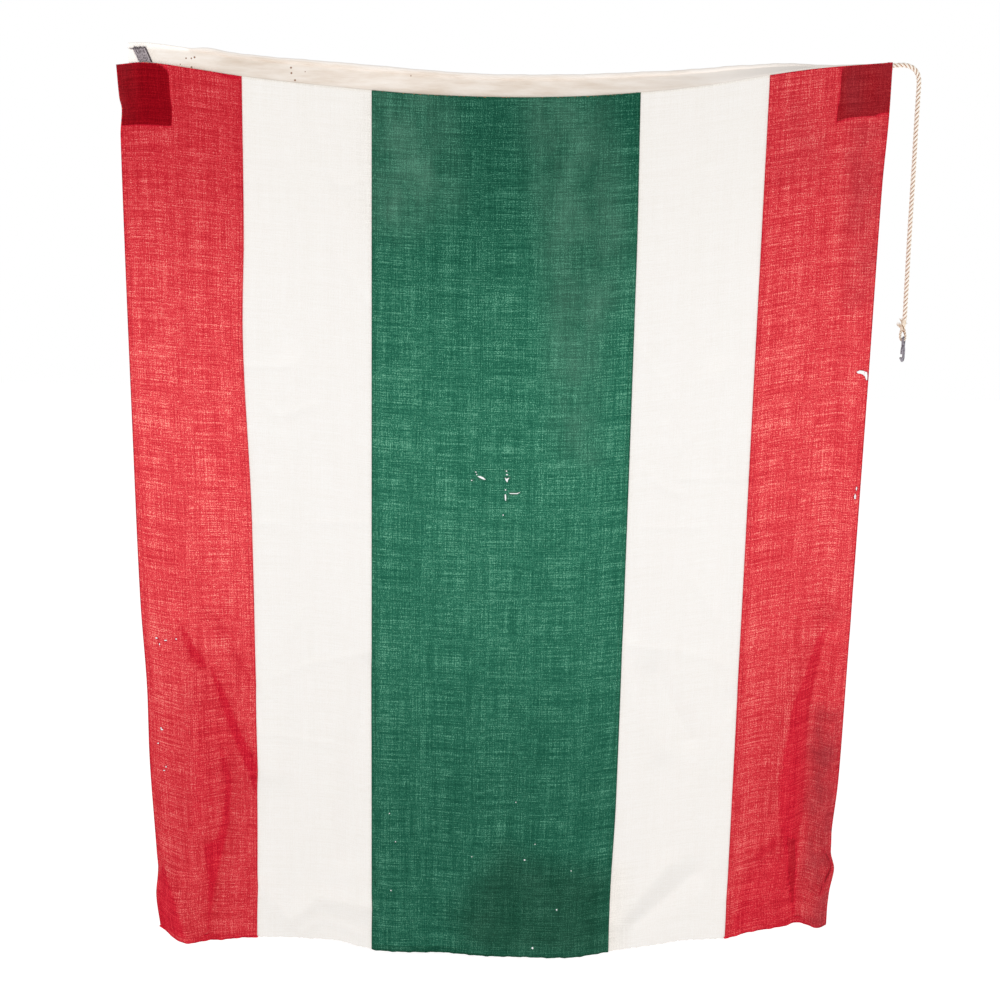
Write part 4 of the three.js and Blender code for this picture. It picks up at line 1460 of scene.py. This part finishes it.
@dataclass
class LaidRope:
    """The three-strand laid rope, the soft eye spliced in its end and its frayed tail."""

    strands: int = 3
    strand_radius: float = 2.3
    lay_radius: float = 2.42
    steps_a_turn: int = 16
    sides: int = 10
    yarns: int = 9
    hidden: float = 12.0
    eye_lay: float = 17.0
    splice_length: float = 24.0
    splice_lay: float = 20.0
    route: Array = field(default_factory=lambda: np.zeros((0, 3)))
    # Each yarn colour runs from its high colour on the strands' tops, a painted highlight, to its low
    # colour in the grooves, painted shade
    yarn_finish: YarnFinish = YarnFinish("cotton_rope_yarn", "#fffaf0", "#b07a48")
    splice_finish: YarnFinish = YarnFinish("worn_cotton_rope_yarn", "#fbeedb", "#8d5c31", 1.6, 1.3)

    def strand_tube(self, pile: MeshPile, route: Array, turns: Array, lay: Array,
                    radius: Array, sides: int) -> None:
        """Adds the strands that wind round a route.

        Args:
            pile: the piece they go into.
            route: the rope's centre points.
            turns: how far the lay has turned at each point, in radians.
            lay: distance of a strand's centre from the rope's.
            radius: of a strand.
            sides: sides of its section.
        """
        side, other = frames_along(route, np.array([0.0, 1.0, 0.0]))
        for strand in range(self.strands):
            angle = turns + 2 * math.pi * strand / self.strands
            offset = np.cos(angle)[:, None] * side + np.sin(angle)[:, None] * other
            centre = route + lay[:, None] * offset
            points, faces = tube(centre, radius, sides)
            ring = np.repeat(np.arange(len(route)), sides)
            from_axis = np.linalg.norm(points - route[ring], axis=1) / (lay + radius)[ring]
            # Painted shade: each strand is darker towards the grooves between strands
            groove_shade = smooth_rise((0.96 - from_axis) / 0.26)
            # Yarns twist against the lay, so fine dark lines cross each strand
            around = np.tile(np.arange(sides), len(route)) / sides
            line = 0.5 + 0.5 * np.sin(2 * math.pi * (around * self.yarns / 3 + ring * 0.55))
            pile.add(points, faces, np.clip(0.85 * groove_shade + 0.22 * line, 0, 1))

    def build_rope(self) -> Piece:
        """Builds the rope from inside the heading's mouth to the splice.

        Returns:
            The finished piece.
        """
        first = ROPE_ROUTE[0]
        whole = ((first[0] - self.hidden, first[1], first[2] - 0.6), *ROPE_ROUTE)
        rough = smooth_route(whole, 400)
        steps = round(length_of(rough) / ROPE_PITCH * self.steps_a_turn)
        route = smooth_route(whole, steps)
        turns = 2 * math.pi * np.linspace(0, length_of(route), len(route)) / ROPE_PITCH
        pile = MeshPile()
        even = np.ones(len(route))
        self.strand_tube(pile, route, turns, self.lay_radius * even, self.strand_radius * even, self.sides)
        self.stray_fibres(pile, route)
        piece = pile.build("laid_rope")
        smooth(piece, 70)
        dress(piece, self.yarn_finish.make(), "rope")
        self.route = route
        return piece

    def stray_fibres(self, pile: MeshPile, route: Array) -> None:
        """Adds short loose fibres that stand off the rope.

        Args:
            pile: the piece they go into.
            route: the rope's centre points.
        """
        draw = np.random.default_rng(11)
        for _ in range(160):
            at = route[draw.integers(4, len(route) - 4)]
            away = draw.normal(size=3)
            away /= np.linalg.norm(away)
            start = at + away * ROPE_DIAMETER * 0.42
            bend = draw.normal(size=3) * 0.35
            reach = draw.uniform(0.8, 2.0)
            steps = np.linspace(0, 1, 4)[:, None]
            pile.add_tube(start + away * reach * steps + bend * steps ** 2,
                          0.11 * (1.0 - 0.6 * steps[:, 0]), 3, 0.1)

    def declare(self) -> None:
        path = [tuple(float(c) * MM for c in p) for p in self.route[::4]]
        path.append(tuple(float(c) * MM for c in self.route[-1]))

    def build_eye(self) -> Piece:
        """Builds the soft eye, the splice that holds it and the frayed tails.

        Returns:
            The finished piece.
        """
        pile = MeshPile()
        side = ((0.74, 0.72), (1, 0.42), (0.93, 0.2), (0.52, 0.04))
        half = [(across * 5.0, mix(EYE_LOW_Z, EYE_TOP_Z, up)) for across, up in side]
        loop = [(0.7, EYE_TOP_Z + 6), (2.1, EYE_TOP_Z), *half, (0.0, EYE_LOW_Z),
                *((-x, z) for x, z in reversed(half)), (-2.1, EYE_TOP_Z), (-0.7, EYE_TOP_Z + 6)]
        lean = (EYE_TOP_Z - EYE_LOW_Z) / 1.6
        route = smooth_route([(SPLICE_X + x + (EYE_TOP_Z - z) / lean, HANG_Y, z) for x, z in loop], 64)
        turns = np.linspace(0, 2 * math.pi * length_of(route) / self.eye_lay, len(route))
        even = np.ones(len(route))
        self.strand_tube(pile, route, turns, 1.25 * even, 1.3 * even, 8)
        splice = smooth_route([(ROPE_ROUTE[-1][0] - 0.6, HANG_Y, SPLICE_TOP_Z + 1.5),
                               (SPLICE_X, HANG_Y, -459), (SPLICE_X, HANG_Y, SPLICE_LOW_Z + 2)], 44)
        share = np.linspace(0, 1, len(splice))
        swell = np.sin(math.pi * np.clip(share * 0.9 + 0.07, 0, 1)) ** 0.6
        # The tucked strands lie between those of the rope
        for shift in (0.0, math.pi / 3):
            turns = shift + 2 * math.pi * share * self.splice_length / self.splice_lay
            self.strand_tube(pile, splice, turns, 2.9 * swell, 1.2 + 0.8 * swell, 8)
        # Dark worn strands cross the splice
        for across, high in (((-2.6, 1.8), (-457.0, -466.0)), ((-1.2, 2.6), (-466.5, -474.5))):
            wrap = smooth_route([(SPLICE_X + across[0], HANG_Y - 3.6, high[0]),
                                 (SPLICE_X + sum(across) / 2, HANG_Y - 5.2, sum(high) / 2),
                                 (SPLICE_X + across[1], HANG_Y - 3.4, high[1])], 12)
            pile.add_tube(wrap, np.full(len(wrap), 0.75), 6, 1.3)
        self.tails(pile)
        piece = pile.build("spliced_eye")
        smooth(piece, 70)
        dress(piece, self.splice_finish.make(), "rope_eye")
        return piece

    def tails(self, pile: MeshPile) -> None:
        """Adds the cut ends of the strands, frayed out of the splice.

        Args:
            pile: the piece they go into.
        """
        draw = np.random.default_rng(5)
        for x, z, lean, count, reach in ((-2.5, -463, -0.75, 24, 13.0), (2.6, -458, 0.6, 14, 10.0),
                                         (-2.6, -452, -0.45, 14, 9.0)):
            for _ in range(count):
                tilt = lean + draw.normal() * 0.2
                out = draw.normal() * 0.35
                way = np.array([math.sin(tilt), out, math.cos(tilt)])
                root = np.array([SPLICE_X + x + draw.normal() * 0.8, HANG_Y + draw.normal(),
                                 z + draw.normal() * 0.8])
                steps = np.linspace(0, 1, 6)[:, None]
                curl = draw.normal(size=3) * 1.2
                route = root + way * reach * draw.uniform(0.7, 1.05) * steps + curl * steps ** 2
                pile.add_tube(route, mix(0.55, 0.2, steps[:, 0]), 4, draw.uniform(0.0, 0.5))


def cast_shape(add: Callable[..., Any], **settings: Any) -> Piece:
    """Adds one of Blender's ready shapes, with its place and turn applied to its points.

    Args:
        add: the operator that adds it.
        settings: the operator's settings.

    Returns:
        The new piece.
    """
    deselect()
    add(**settings)
    piece = bpy.context.object
    pick(piece)
    bpy.ops.object.transform_apply(location=True, rotation=True, scale=True)
    return piece


@dataclass
class FlagClip:
    """The cast clip: an eye for the rope over an oblong ring with a mouth in one limb."""

    eye_z: float = -488.2
    eye_radius: float = 6.8
    eye_wire: float = 2.35
    ring_top: float = -497.0
    ring_low: float = -530.0
    ring_half: float = 11.0
    wire: float = 2.6
    mouth_z: float = -517.0
    mouth: float = 5.6
    # Radius of the neck between eye and ring, and of the limb's rounded end under the mouth
    neck: float = 3.6
    bulb: float = 3.7

    def ring(self, radius: float, wire: float, centre_z: float, stretch: float) -> Piece:
        """Adds a ring that stands on edge.

        Args:
            radius: of the middle of its wire.
            wire: the wire's radius.
            centre_z: height of its centre.
            stretch: how far its halves are drawn apart to make it oblong.

        Returns:
            The ring.
        """
        piece = cast_shape(
            bpy.ops.mesh.primitive_torus_add, major_segments=48, minor_segments=16,
            major_radius=radius * MM, minor_radius=wire * MM,
            location=(0, 0, 0), rotation=(math.pi / 2, 0, 0))
        for vertex in piece.data.vertices:
            vertex.co.z += math.copysign(stretch / 2 * MM, vertex.co.z) if abs(vertex.co.z) > 1e-6 else 0.0
            vertex.co.z += centre_z * MM
        return piece

    def build(self) -> Piece:
        """Builds the clip and turns it as it hangs.

        Returns:
            The finished piece.
        """
        radius = self.ring_half - self.wire
        middle = (self.ring_top + self.ring_low) / 2
        stretch = (self.ring_top - self.ring_low) - 2 * self.ring_half
        piece = self.ring(radius, self.wire, middle, stretch)
        eye = self.ring(self.eye_radius, self.eye_wire, self.eye_z, 0.0)
        neck = cast_shape(
            bpy.ops.mesh.primitive_cylinder_add, vertices=20, radius=self.neck * MM, depth=7.5 * MM,
            location=(0, 0, (self.ring_top + 1.4) * MM))
        bulb = cast_shape(
            bpy.ops.mesh.primitive_uv_sphere_add, segments=20, ring_count=12, radius=self.bulb * MM,
            location=(-radius * MM, 0, (self.mouth_z - 5.0) * MM))
        for part in (eye, neck, bulb):
            apply_modifier(piece, "BOOLEAN", operation="UNION", solver="EXACT", object=part)
            bpy.data.objects.remove(part)
        deselect()
        bpy.ops.mesh.primitive_cube_add(size=1.0, location=(-radius * MM, 0, self.mouth_z * MM))
        mouth = bpy.context.object
        pick(mouth)
        bpy.ops.transform.resize(value=(3 * self.wire * MM, 4 * self.wire * MM, self.mouth * MM))
        bpy.ops.object.transform_apply(location=True, rotation=True, scale=True)
        apply_modifier(piece, "BOOLEAN", operation="DIFFERENCE", solver="EXACT", object=mouth)
        bpy.data.objects.remove(mouth)
        apply_modifier(piece, "REMESH", mode="VOXEL", voxel_size=0.45 * MM)
        apply_modifier(piece, "SMOOTH", factor=0.5, iterations=4)
        turn = Matrix.Translation((HANG_X * MM, HANG_Y * MM, 0)) @ Matrix.Rotation(CLIP_TURN, 4, "Z")
        piece.data.transform(turn)
        piece.name = piece.data.name = "cast_clip"
        smooth(piece, 60)
        dress(piece, CastFinish().make(), "clip")
        return piece


@dataclass
class WebbingTab:
    """The grey webbing tab on the heading's left end, cut off and frayed at its top."""

    foot_x: float = -680.0
    width: float = 25.0
    lean: float = 11.5
    low: float = 1.5
    high: float = 27.0
    thickness: float = 1.3
    # How far the heading's front face stands before its middle
    behind: float = 1.3
    ribs: int = 14
    finish: YarnFinish = YarnFinish("grey_cotton_webbing", "#a79da0", "#372b31", 2.5, 3.2)

    def place(self, heading: Heading, across: Array, height: Array, lift: Array) -> Array:
        """Finds points on the tab's face.

        Args:
            heading: the heading that it is sewn on.
            across: places across the tab, from its middle.
            height: heights above the heading's seam.
            lift: how far the points stand out of the tab's middle, towards the viewer.

        Returns:
            One row of x, y and z for each point.
        """
        slant = -self.lean * (height - self.low) / (self.high - self.low)
        forward = -self.behind - self.thickness / 2 - lift
        return heading.point(self.foot_x + across + slant, height, forward)

    def build(self, heading: Heading) -> Piece:
        """Builds the ribbed tab.

        Args:
            heading: the heading that it is sewn on.

        Returns:
            The finished piece.
        """
        columns, rows = self.ribs * 6 + 1, 49
        piece, column, row = grid_piece("woven_tab", columns, rows)
        across = (column / (columns - 1) - 0.5) * self.width
        top = self.high + 1.1 * np.sin(across * 1.9) + 0.8 * np.sin(across * 0.7 + 1.0)
        height = mix(top, self.low, row / (rows - 1))
        rib = np.sin(2 * math.pi * self.ribs * column / (columns - 1))
        chevron = np.sin(2 * math.pi * (height + np.abs(across) * 0.9) / 3.2)
        set_points(piece, self.place(heading, across, height, 0.1 * rib + 0.06 * chevron))
        # A pale V is woven in half way up and the cut top is darker; ribs and chevrons are painted lighter
        # where they stand forward, as painted light, and a lighter line runs just inside the right edge,
        # which carries painted shadow
        mark = np.exp(-((height - 13.5 - 0.32 * np.abs(across + 1)) / 0.9) ** 2)
        mark = mark * smooth_rise((8 - np.abs(across)) / 3)
        shade = 0.42 - 0.25 * rib - 0.2 * chevron * smooth_rise((height - 12) / 8) - 0.9 * mark
        shade -= 0.8 * np.exp(-((across - 8.4) / 0.9) ** 2)
        shade = np.maximum(shade, 0.8 * smooth_rise((height - 23) / 3))
        shade = np.maximum(shade, 1.2 * smooth_rise((across - 9.8) / 0.9))
        set_tone(piece, shade)
        apply_modifier(piece, "SOLIDIFY", thickness=self.thickness * MM, offset=0.0)
        smooth(piece, 60)
        dress(piece, self.finish.make(), "webbing_tab")
        self.fray(heading)
        return piece

    def fray(self, heading: Heading) -> Piece:
        """Adds the loose warp yarns that stand out of the tab's cut top and sides.

        Args:
            heading: the heading that the tab is sewn on.

        Returns:
            The finished piece.
        """
        draw = np.random.default_rng(3)
        pile = MeshPile()
        steps = np.linspace(0, 1, 6)
        for across in np.linspace(-0.5, 0.5, 46) * self.width:
            reach = 1.0 + 5.0 * draw.random() ** 1.6
            curl, lift = draw.normal() * 1.6, draw.normal() * 0.7
            route = self.place(heading, across + curl * steps ** 2, self.high - 1.5 + reach * steps,
                               lift * steps)
            pile.add_tube(route, mix(0.42, 0.2, steps), 4, draw.uniform(0.1, 1.0))
        for side in (-1, 1):
            for height in np.arange(self.low + 3, self.high, 1.7):
                route = self.place(heading, side * (self.width / 2 - 0.5 + 1.6 * draw.random() * steps),
                                   height + draw.normal() * 0.8 * steps, 0.3 * steps)
                pile.add_tube(route, mix(0.34, 0.18, steps), 4, draw.uniform(0.3, 1.0))
        # A few long yarns lie out to the left of the cut top
        for _ in range(5):
            reach, rise = draw.uniform(4.0, 11.0), draw.uniform(-0.5, 4.5)
            route = self.place(heading, -self.width / 2 + 2 - reach * steps,
                               self.high - 2.5 + rise * steps ** 0.6, 0.6 * steps)
            pile.add_tube(route, mix(0.3, 0.14, steps), 4, draw.uniform(-0.9, -0.3))
        piece = pile.build("frayed_tab_yarns")
        dress(piece, self.finish.make())
        return piece


def stitch_shape(length: float, width: float, high: float) -> tuple[Array, list[list[int]]]:
    """Makes one stitch, a slim lozenge of eight faces.

    Args:
        length: its size along X, the way of its row.
        width: its size along Z.
        high: how far it stands out along Y each way.

    Returns:
        Its points and its faces.
    """
    points = np.array([(-length / 2, 0, 0), (0, 0, width / 2), (length / 2, 0, 0), (0, 0, -width / 2),
                       (0, -high, 0), (0, high, 0)], float)
    faces = [[0, 1, 4], [1, 2, 4], [2, 3, 4], [3, 0, 4], [1, 0, 5], [2, 1, 5], [3, 2, 5], [0, 3, 5]]
    return points, faces


@dataclass
class StitchRow:
    """A row of machine stitches along a line on the cloth."""

    route: Array
    pitch: float = 3.2
    length: float = 2.4
    width: float = 0.75
    high: float = 0.34
    # Share of the stitches that have this thread, and how unevenly they are toned
    share: float = 1.0
    uneven: float = 0.0
    seed: int = 1

    def sew(self, pile: MeshPile) -> None:
        """Adds the row to a pile, one stitch at each step along its route.

        Args:
            pile: the piece it goes into.
        """
        draw = np.random.default_rng(self.seed)
        along = distances_along(self.route)
        places = np.arange(self.pitch, along[-1], self.pitch)
        centres = read_along(self.route, along, places)
        ahead = read_along(self.route, along, places + 0.5)
        shape, faces = stitch_shape(self.length, self.width, self.high)
        for centre, way in zip(centres, ahead - centres):
            size = np.linalg.norm(way)
            if size < 1e-6 or draw.random() > self.share:
                continue
            way = way / size
            side = np.cross(way, (0.0, -1.0, 0.0))
            side /= np.linalg.norm(side)
            turn = np.stack([way, np.cross(side, way), side])
            pile.add(centre + shape @ turn, faces, self.uneven * draw.random())


# The broad stitches that wrap an edge
WHIPPED = {"pitch": 2.5, "length": 2.5, "width": 2.4, "high": 0.42, "uneven": 1.0}

# Each thread's finish and slot
THREADS = {
    "red_thread": (YarnFinish("red_cotton_thread", "#b3202c", "#7d101c"), "red_bunting"),
    "green_thread": (YarnFinish("green_cotton_thread", "#1d6347", "#0f4331"), "green_bunting"),
    "ochre_thread": (YarnFinish("ochre_cotton_thread", "#e0822f", "#8a3a1c"), "canvas"),
    "white_thread": (YarnFinish("white_cotton_thread", "#efe9e0", "#d8cfc2"), "white_bunting"),
    "scarlet_thread": (YarnFinish("scarlet_cotton_thread", "#de1631", "#78071a"), "red_bunting"),
}


@dataclass
class Sewing:
    """The threads that sew the flag: seam and hem rows, and the raw edges' loose yarns."""

    stripes: dict[str, Stripe]
    run_step: float = 6.0
    # Distances from the edge of the rows in a seam and in a hem, and of a back row from the cloth's end
    seam_rows: tuple[float, ...] = (1.0, 7.2)
    hem_rows: tuple[float, ...] = (8.2,)
    end_inset: float = 1.2
    low_inset: float = 1.5
    # Distances from the edge of the broad stitches that wrap it, at the top, a side and the bottom
    wrap_top: float = 0.9
    wrap_side: float = 0.5
    wrap_low: float = 0.6

    def side_row(self, stripe: Stripe, share: float, offset: float, back: bool = False) -> StitchRow:
        """Lays a row down a stripe.

        Args:
            stripe: the stripe.
            share: the row's share of its width.
            offset: the row's offset from there.
            back: True for its back, False for its face.

        Returns:
            The row.
        """
        runs = np.arange(3.0, CLOTH_LENGTH - 4.0, self.run_step)
        route = stripe.place(share, offset, runs)
        route[:, 1] += 2 * TURN_RADIUS + BUNTING + 0.1 if back else -0.08
        return StitchRow(route)

    def cross_row(self, stripe: Stripe, run: float, back: bool = False) -> StitchRow:
        """Lays a row across a stripe.

        Args:
            stripe: the stripe.
            run: the row's distance down the cloth.
            back: True for its back, False for its face.

        Returns:
            The row.
        """
        route = stripe.place(np.linspace(0.004, 0.996, 90), 0.0, run)
        route[:, 1] += 2 * ROLL_RADIUS + BUNTING + 0.1 if back else -0.08
        return StitchRow(route)

    def whipped(self, row: StitchRow, **changes: float) -> StitchRow:
        """Turns a row into broad stitches that wrap an edge."""
        return StitchRow(row.route, **{**WHIPPED, **changes})

    def build(self) -> list[Piece]:
        """Sews every row and frays every raw edge.

        Returns:
            The finished pieces.
        """
        rows: dict[str, list[StitchRow]] = {thread: [] for thread in THREADS}
        for name, thread in (("panel_red_left", "red_thread"), ("panel_green", "green_thread"),
                             ("panel_red_right", "red_thread")):
            stripe = self.stripes[name]
            edges = [self.cross_row(stripe, self.wrap_top)]
            for share, sign, side in ((0.0, 1, stripe.left_side), (1.0, -1, stripe.right_side)):
                offsets = self.seam_rows if side is Side.TURNED else self.hem_rows
                rows[thread] += [self.side_row(stripe, share, sign * offset) for offset in offsets]
                turned_end = sign * (side.value - self.end_inset)
                rows[thread].append(self.side_row(stripe, share, turned_end, back=True))
                if side is Side.HEM:
                    edges.append(self.side_row(stripe, share, sign * self.wrap_side))
            hem_top = CLOTH_LENGTH - BOTTOM_HEM + self.low_inset
            rows[thread] += [self.cross_row(stripe, hem_top, back) for back in (False, True)]
            whip = "scarlet_thread" if thread == "red_thread" else "green_thread"
            rows[whip] += [self.whipped(row) for row in edges]
            low = self.cross_row(stripe, CLOTH_LENGTH - self.wrap_low)
            rows[whip].append(self.whipped(low, width=2.8))
            # Later repairs show as ochre stitches here and there
            repair = {"share": 0.16, "high": 0.6, "width": 1.6, "seed": 7}
            rows["ochre_thread"] += [self.whipped(row, **repair) for row in edges]
        for name in ("panel_white_left", "panel_white_right"):
            rows["white_thread"].append(self.cross_row(self.stripes[name], 3.0))
        pieces = []
        for thread, sewn in rows.items():
            pile = MeshPile()
            for row in sewn:
                row.sew(pile)
            if thread == "scarlet_thread":
                self.hem_ends(pile)
            piece = pile.build(thread)
            finish, slot = THREADS[thread]
            dress(piece, finish.make())
            pieces.append(piece)
        pieces.append(self.frays())
        return pieces

    def hem_ends(self, pile: MeshPile) -> None:
        """Adds the bound ends of the red stripes' bottom hems, which stand out at the corners.

        Args:
            pile: the piece they go into.
        """
        for name, share, sign in (("panel_red_left", 0.0, -1), ("panel_red_left", 1.0, 1),
                                  ("panel_red_right", 0.0, -1)):
            offsets = np.array([-9.0, -5.0, -1.5, 1.0, 2.6])
            route = self.stripes[name].place(share, sign * offsets, CLOTH_LENGTH - ROLL_RADIUS)
            pile.add_tube(route, np.array([1.2, 1.9, 2.2, 2.1, 1.0]), 8, 0.15)

    def frays(self) -> Piece:
        """Hangs loose yarns from the raw lower edges of the white stripes.

        Returns:
            The finished piece.
        """
        draw = np.random.default_rng(8)
        pile = MeshPile()
        for name in ("panel_white_left", "panel_white_right"):
            stripe = self.stripes[name]
            shares = np.arange(0.004, 0.996, 1.1 / stripe.width())
            shares = shares + draw.uniform(-0.001, 0.001, len(shares))
            for root in stripe.place(shares, 0.0, CLOTH_LENGTH - 1.5):
                reach = 1.5 + 5.5 * draw.random() ** 3
                drift = draw.normal() * 0.8
                steps = np.linspace(0, 1, 4)
                behind = 0.25 + 0.2 * steps * draw.normal()
                route = np.stack([root[0] + drift * steps ** 2, root[1] + behind,
                                  root[2] - reach * steps], -1)
                pile.add_tube(route, mix(0.24, 0.12, steps), 3, draw.uniform(0, 0.3))
        piece = pile.build("frayed_white_yarns")
        dress(piece, YarnFinish("white_cotton_yarn", "#f4efe8", "#e2d9cd").make())
        return piece


@dataclass
class Studio:
    """The photograph's camera, a pale floor and soft even light."""

    place: tuple[float, float, float] = (0.0032, -2.5877, -0.3446)
    lens: float = 47.2
    pitch: float = 10.384
    roll: float = 1.0685
    floor_z: float = -2.1
    middle: tuple[float, float, float] = (0.0, 0.0, -0.9)

    def camera(self) -> None:
        """Sets up the camera."""
        data = bpy.data.cameras.new("camera")
        data.lens = self.lens
        data.sensor_width = 36.0
        data.clip_end = 60.0
        camera = into_scene("camera", data)
        tilt = Euler((math.radians(90 - self.pitch), 0, 0)).to_matrix().to_4x4()
        roll = Matrix.Rotation(math.radians(self.roll), 4, "Z")
        camera.matrix_world = Matrix.Translation(self.place) @ tilt @ roll
        bpy.context.scene.camera = camera

    def lamp(self, name: str, place: tuple[float, float, float], size: float, watts: float) -> None:
        """Hangs a square soft lamp that faces the middle of the flag.

        Args:
            name: the lamp's name.
            place: where it hangs, in metres.
            size: length of its side, in metres.
            watts: its strength.
        """
        data = bpy.data.lights.new(name, "AREA")
        data.size = size
        data.energy = watts
        lamp = into_scene(name, data)
        lamp.location = place
        aim = Vector(self.middle) - Vector(place)
        lamp.rotation_euler = aim.to_track_quat("-Z", "Y").to_euler()

    def light(self) -> None:
        """Sets up the lamps and the white surround."""
        scene = bpy.context.scene
        scene.view_settings.view_transform = "Standard"
        world = bpy.data.worlds.new("white_surround")
        scene.world = world
        world.use_nodes = True
        background = world.node_tree.nodes["Background"]
        background.inputs["Color"].default_value = (1.0, 1.0, 1.0, 1.0)
        # The surround shows white and lights the flag less strongly than it shows
        seen = add_node(world.node_tree, "ShaderNodeLightPath").outputs["Is Camera Ray"]
        strength = add_node(world.node_tree, "ShaderNodeMapRange", {"To Min": 0.55, "To Max": 1.0},
                            {"Value": seen})
        world.node_tree.links.new(strength.outputs[0], background.inputs["Strength"])
        self.lamp("key_lamp", (-2.2, -2.8, 0.6), 1.4, 32.0)
        self.lamp("side_lamp", (2.6, -2.0, -0.4), 1.2, 20.0)

    def floor(self) -> None:
        """Lays the pale floor."""
        deselect()
        bpy.ops.mesh.primitive_plane_add(size=30.0, location=(0, 0, self.floor_z))
        floor = bpy.context.object
        floor.name = "floor"
        material, _, shader = new_material("white_painted_floor", {
            "Base Color": linear("#fdfdfd"), "Roughness": 0.9, "Emission Strength": 0.5,
            "Emission Color": (1.0, 1.0, 1.0, 1.0),
        })
        floor.data.materials.append(material)


# Tears, as outlines of (x, z)
GREEN_TEARS: tuple[Line, ...] = (
    ((-43, -769.5), (-37, -769), (-31, -771.5), (-26, -776), (-30, -776), (-37, -773)),
    ((12, -771.5), (15, -774.5), (21, -772), (18.5, -776.5), (17, -781.5), (14, -778)),
    ((21, -803), (24, -804.6), (38, -804.2), (44, -799.8), (37, -802.6), (27, -803)),
    ((12.5, -806), (14.5, -806), (15.5, -812), (15, -819), (13.5, -818), (12.8, -812)),
)
RED_RIGHT_TEARS: tuple[Line, ...] = (
    ((697, -548), (703, -545), (710, -545.6), (714, -547.4), (718, -548), (719.4, -555), (719.5, -564),
     (717, -563.5), (714.5, -557), (710, -553), (706, -551.5), (700, -551)),
    ((711, -780), (713, -775), (714.5, -780), (713, -785)),
    ((709, -796), (711, -789.5), (713.5, -795), (713, -801), (710.5, -802)),
)
# Pinholes, as x, z, width and height
GREEN_PINHOLES = (
    (15, -759, 2.2, 2.0), (16, -766, 3.0, 2.2), (14, -797, 2.0, 2.2), (-54, -778, 2.0, 1.6),
    (-46, -761, 2.4, 1.6), (-44, -766, 1.8, 1.6), (90, -1785, 3.2, 4.0), (139, -1693, 2.4, 3.0),
    (-212, -1661, 2.0, 2.2), (69, -1584, 3.0, 2.4), (-203, -1551, 1.8, 1.8), (48, -1457, 1.7, 1.7),
    (90, -1547, 1.7, 1.7), (-216, -1488, 1.8, 1.8), (-42, -1580, 1.6, 1.6), (167, -1605, 1.6, 1.6),
    (10, -848, 1.8, 2.2),
)
RED_LEFT_PINHOLES = (
    (-692, -1116, 4.0, 2.2), (-674, -1121, 5.0, 1.8), (-653, -1119, 2.0, 2.6), (-686, -1129, 1.6, 4.0),
    (-686, -1312, 4.2, 2.0), (-688, -1309, 2.0, 3.2), (-695, -1342, 2.4, 2.4), (-680, -1393, 1.6, 3.4),
    (-684, -1401, 4.4, 1.3),
)


def make_stripes() -> dict[str, Stripe]:
    """Lists the five stripes from left to right.

    Returns:
        The stripes by name.
    """
    stripes = (
        Stripe("panel_red_left", LEFT_EDGE, RED_WHITE_LEFT, 0, Side.HEM, Side.TURNED, RED_BUNTING,
               "red_bunting", patch=Corner.LEFT, pinholes=RED_LEFT_PINHOLES),
        Stripe("panel_white_left", RED_WHITE_LEFT, WHITE_GREEN_LEFT, 1, Side.FLAT, Side.FLAT,
               WHITE_BUNTING, "white_bunting", raw_bottom=True, seed=2),
        Stripe("panel_green", WHITE_GREEN_LEFT, GREEN_WHITE_RIGHT, 0, Side.TURNED, Side.TURNED,
               GREEN_BUNTING, "green_bunting", cell=WIDE_CELL, tears=GREEN_TEARS, pinholes=GREEN_PINHOLES),
        Stripe("panel_white_right", GREEN_WHITE_RIGHT, WHITE_RED_RIGHT, 1, Side.FLAT, Side.FLAT,
               WHITE_BUNTING, "white_bunting", raw_bottom=True, seed=4),
        Stripe("panel_red_right", WHITE_RED_RIGHT, RIGHT_EDGE, 0, Side.TURNED, Side.HEM, RED_BUNTING,
               "red_bunting", patch=Corner.RIGHT, tears=RED_RIGHT_TEARS),
    )
    return {stripe.name: stripe for stripe in stripes}


def main() -> None:
    """Builds the flag around its frame and reports each piece."""
    logging.basicConfig(level=logging.INFO, format="%(name)s %(message)s")
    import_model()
    studio = Studio()
    studio.camera()
    rope = LaidRope()
    rope_piece = rope.build_rope()
    eye = rope.build_eye()
    clip = FlagClip().build()
    rope.declare()
    stripes = make_stripes()
    for stripe in stripes.values():
        stripe.build()
    heading = Heading()
    heading.build()
    CornerPatch("corner_patch_left", LEFT_EDGE, Corner.LEFT).build()
    CornerPatch("corner_patch_right", RIGHT_EDGE, Corner.RIGHT).build()
    WebbingTab().build(heading)
    Sewing(stripes).build()
    studio.light()
    studio.floor()
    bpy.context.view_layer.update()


if __name__ == "__main__":
    main()
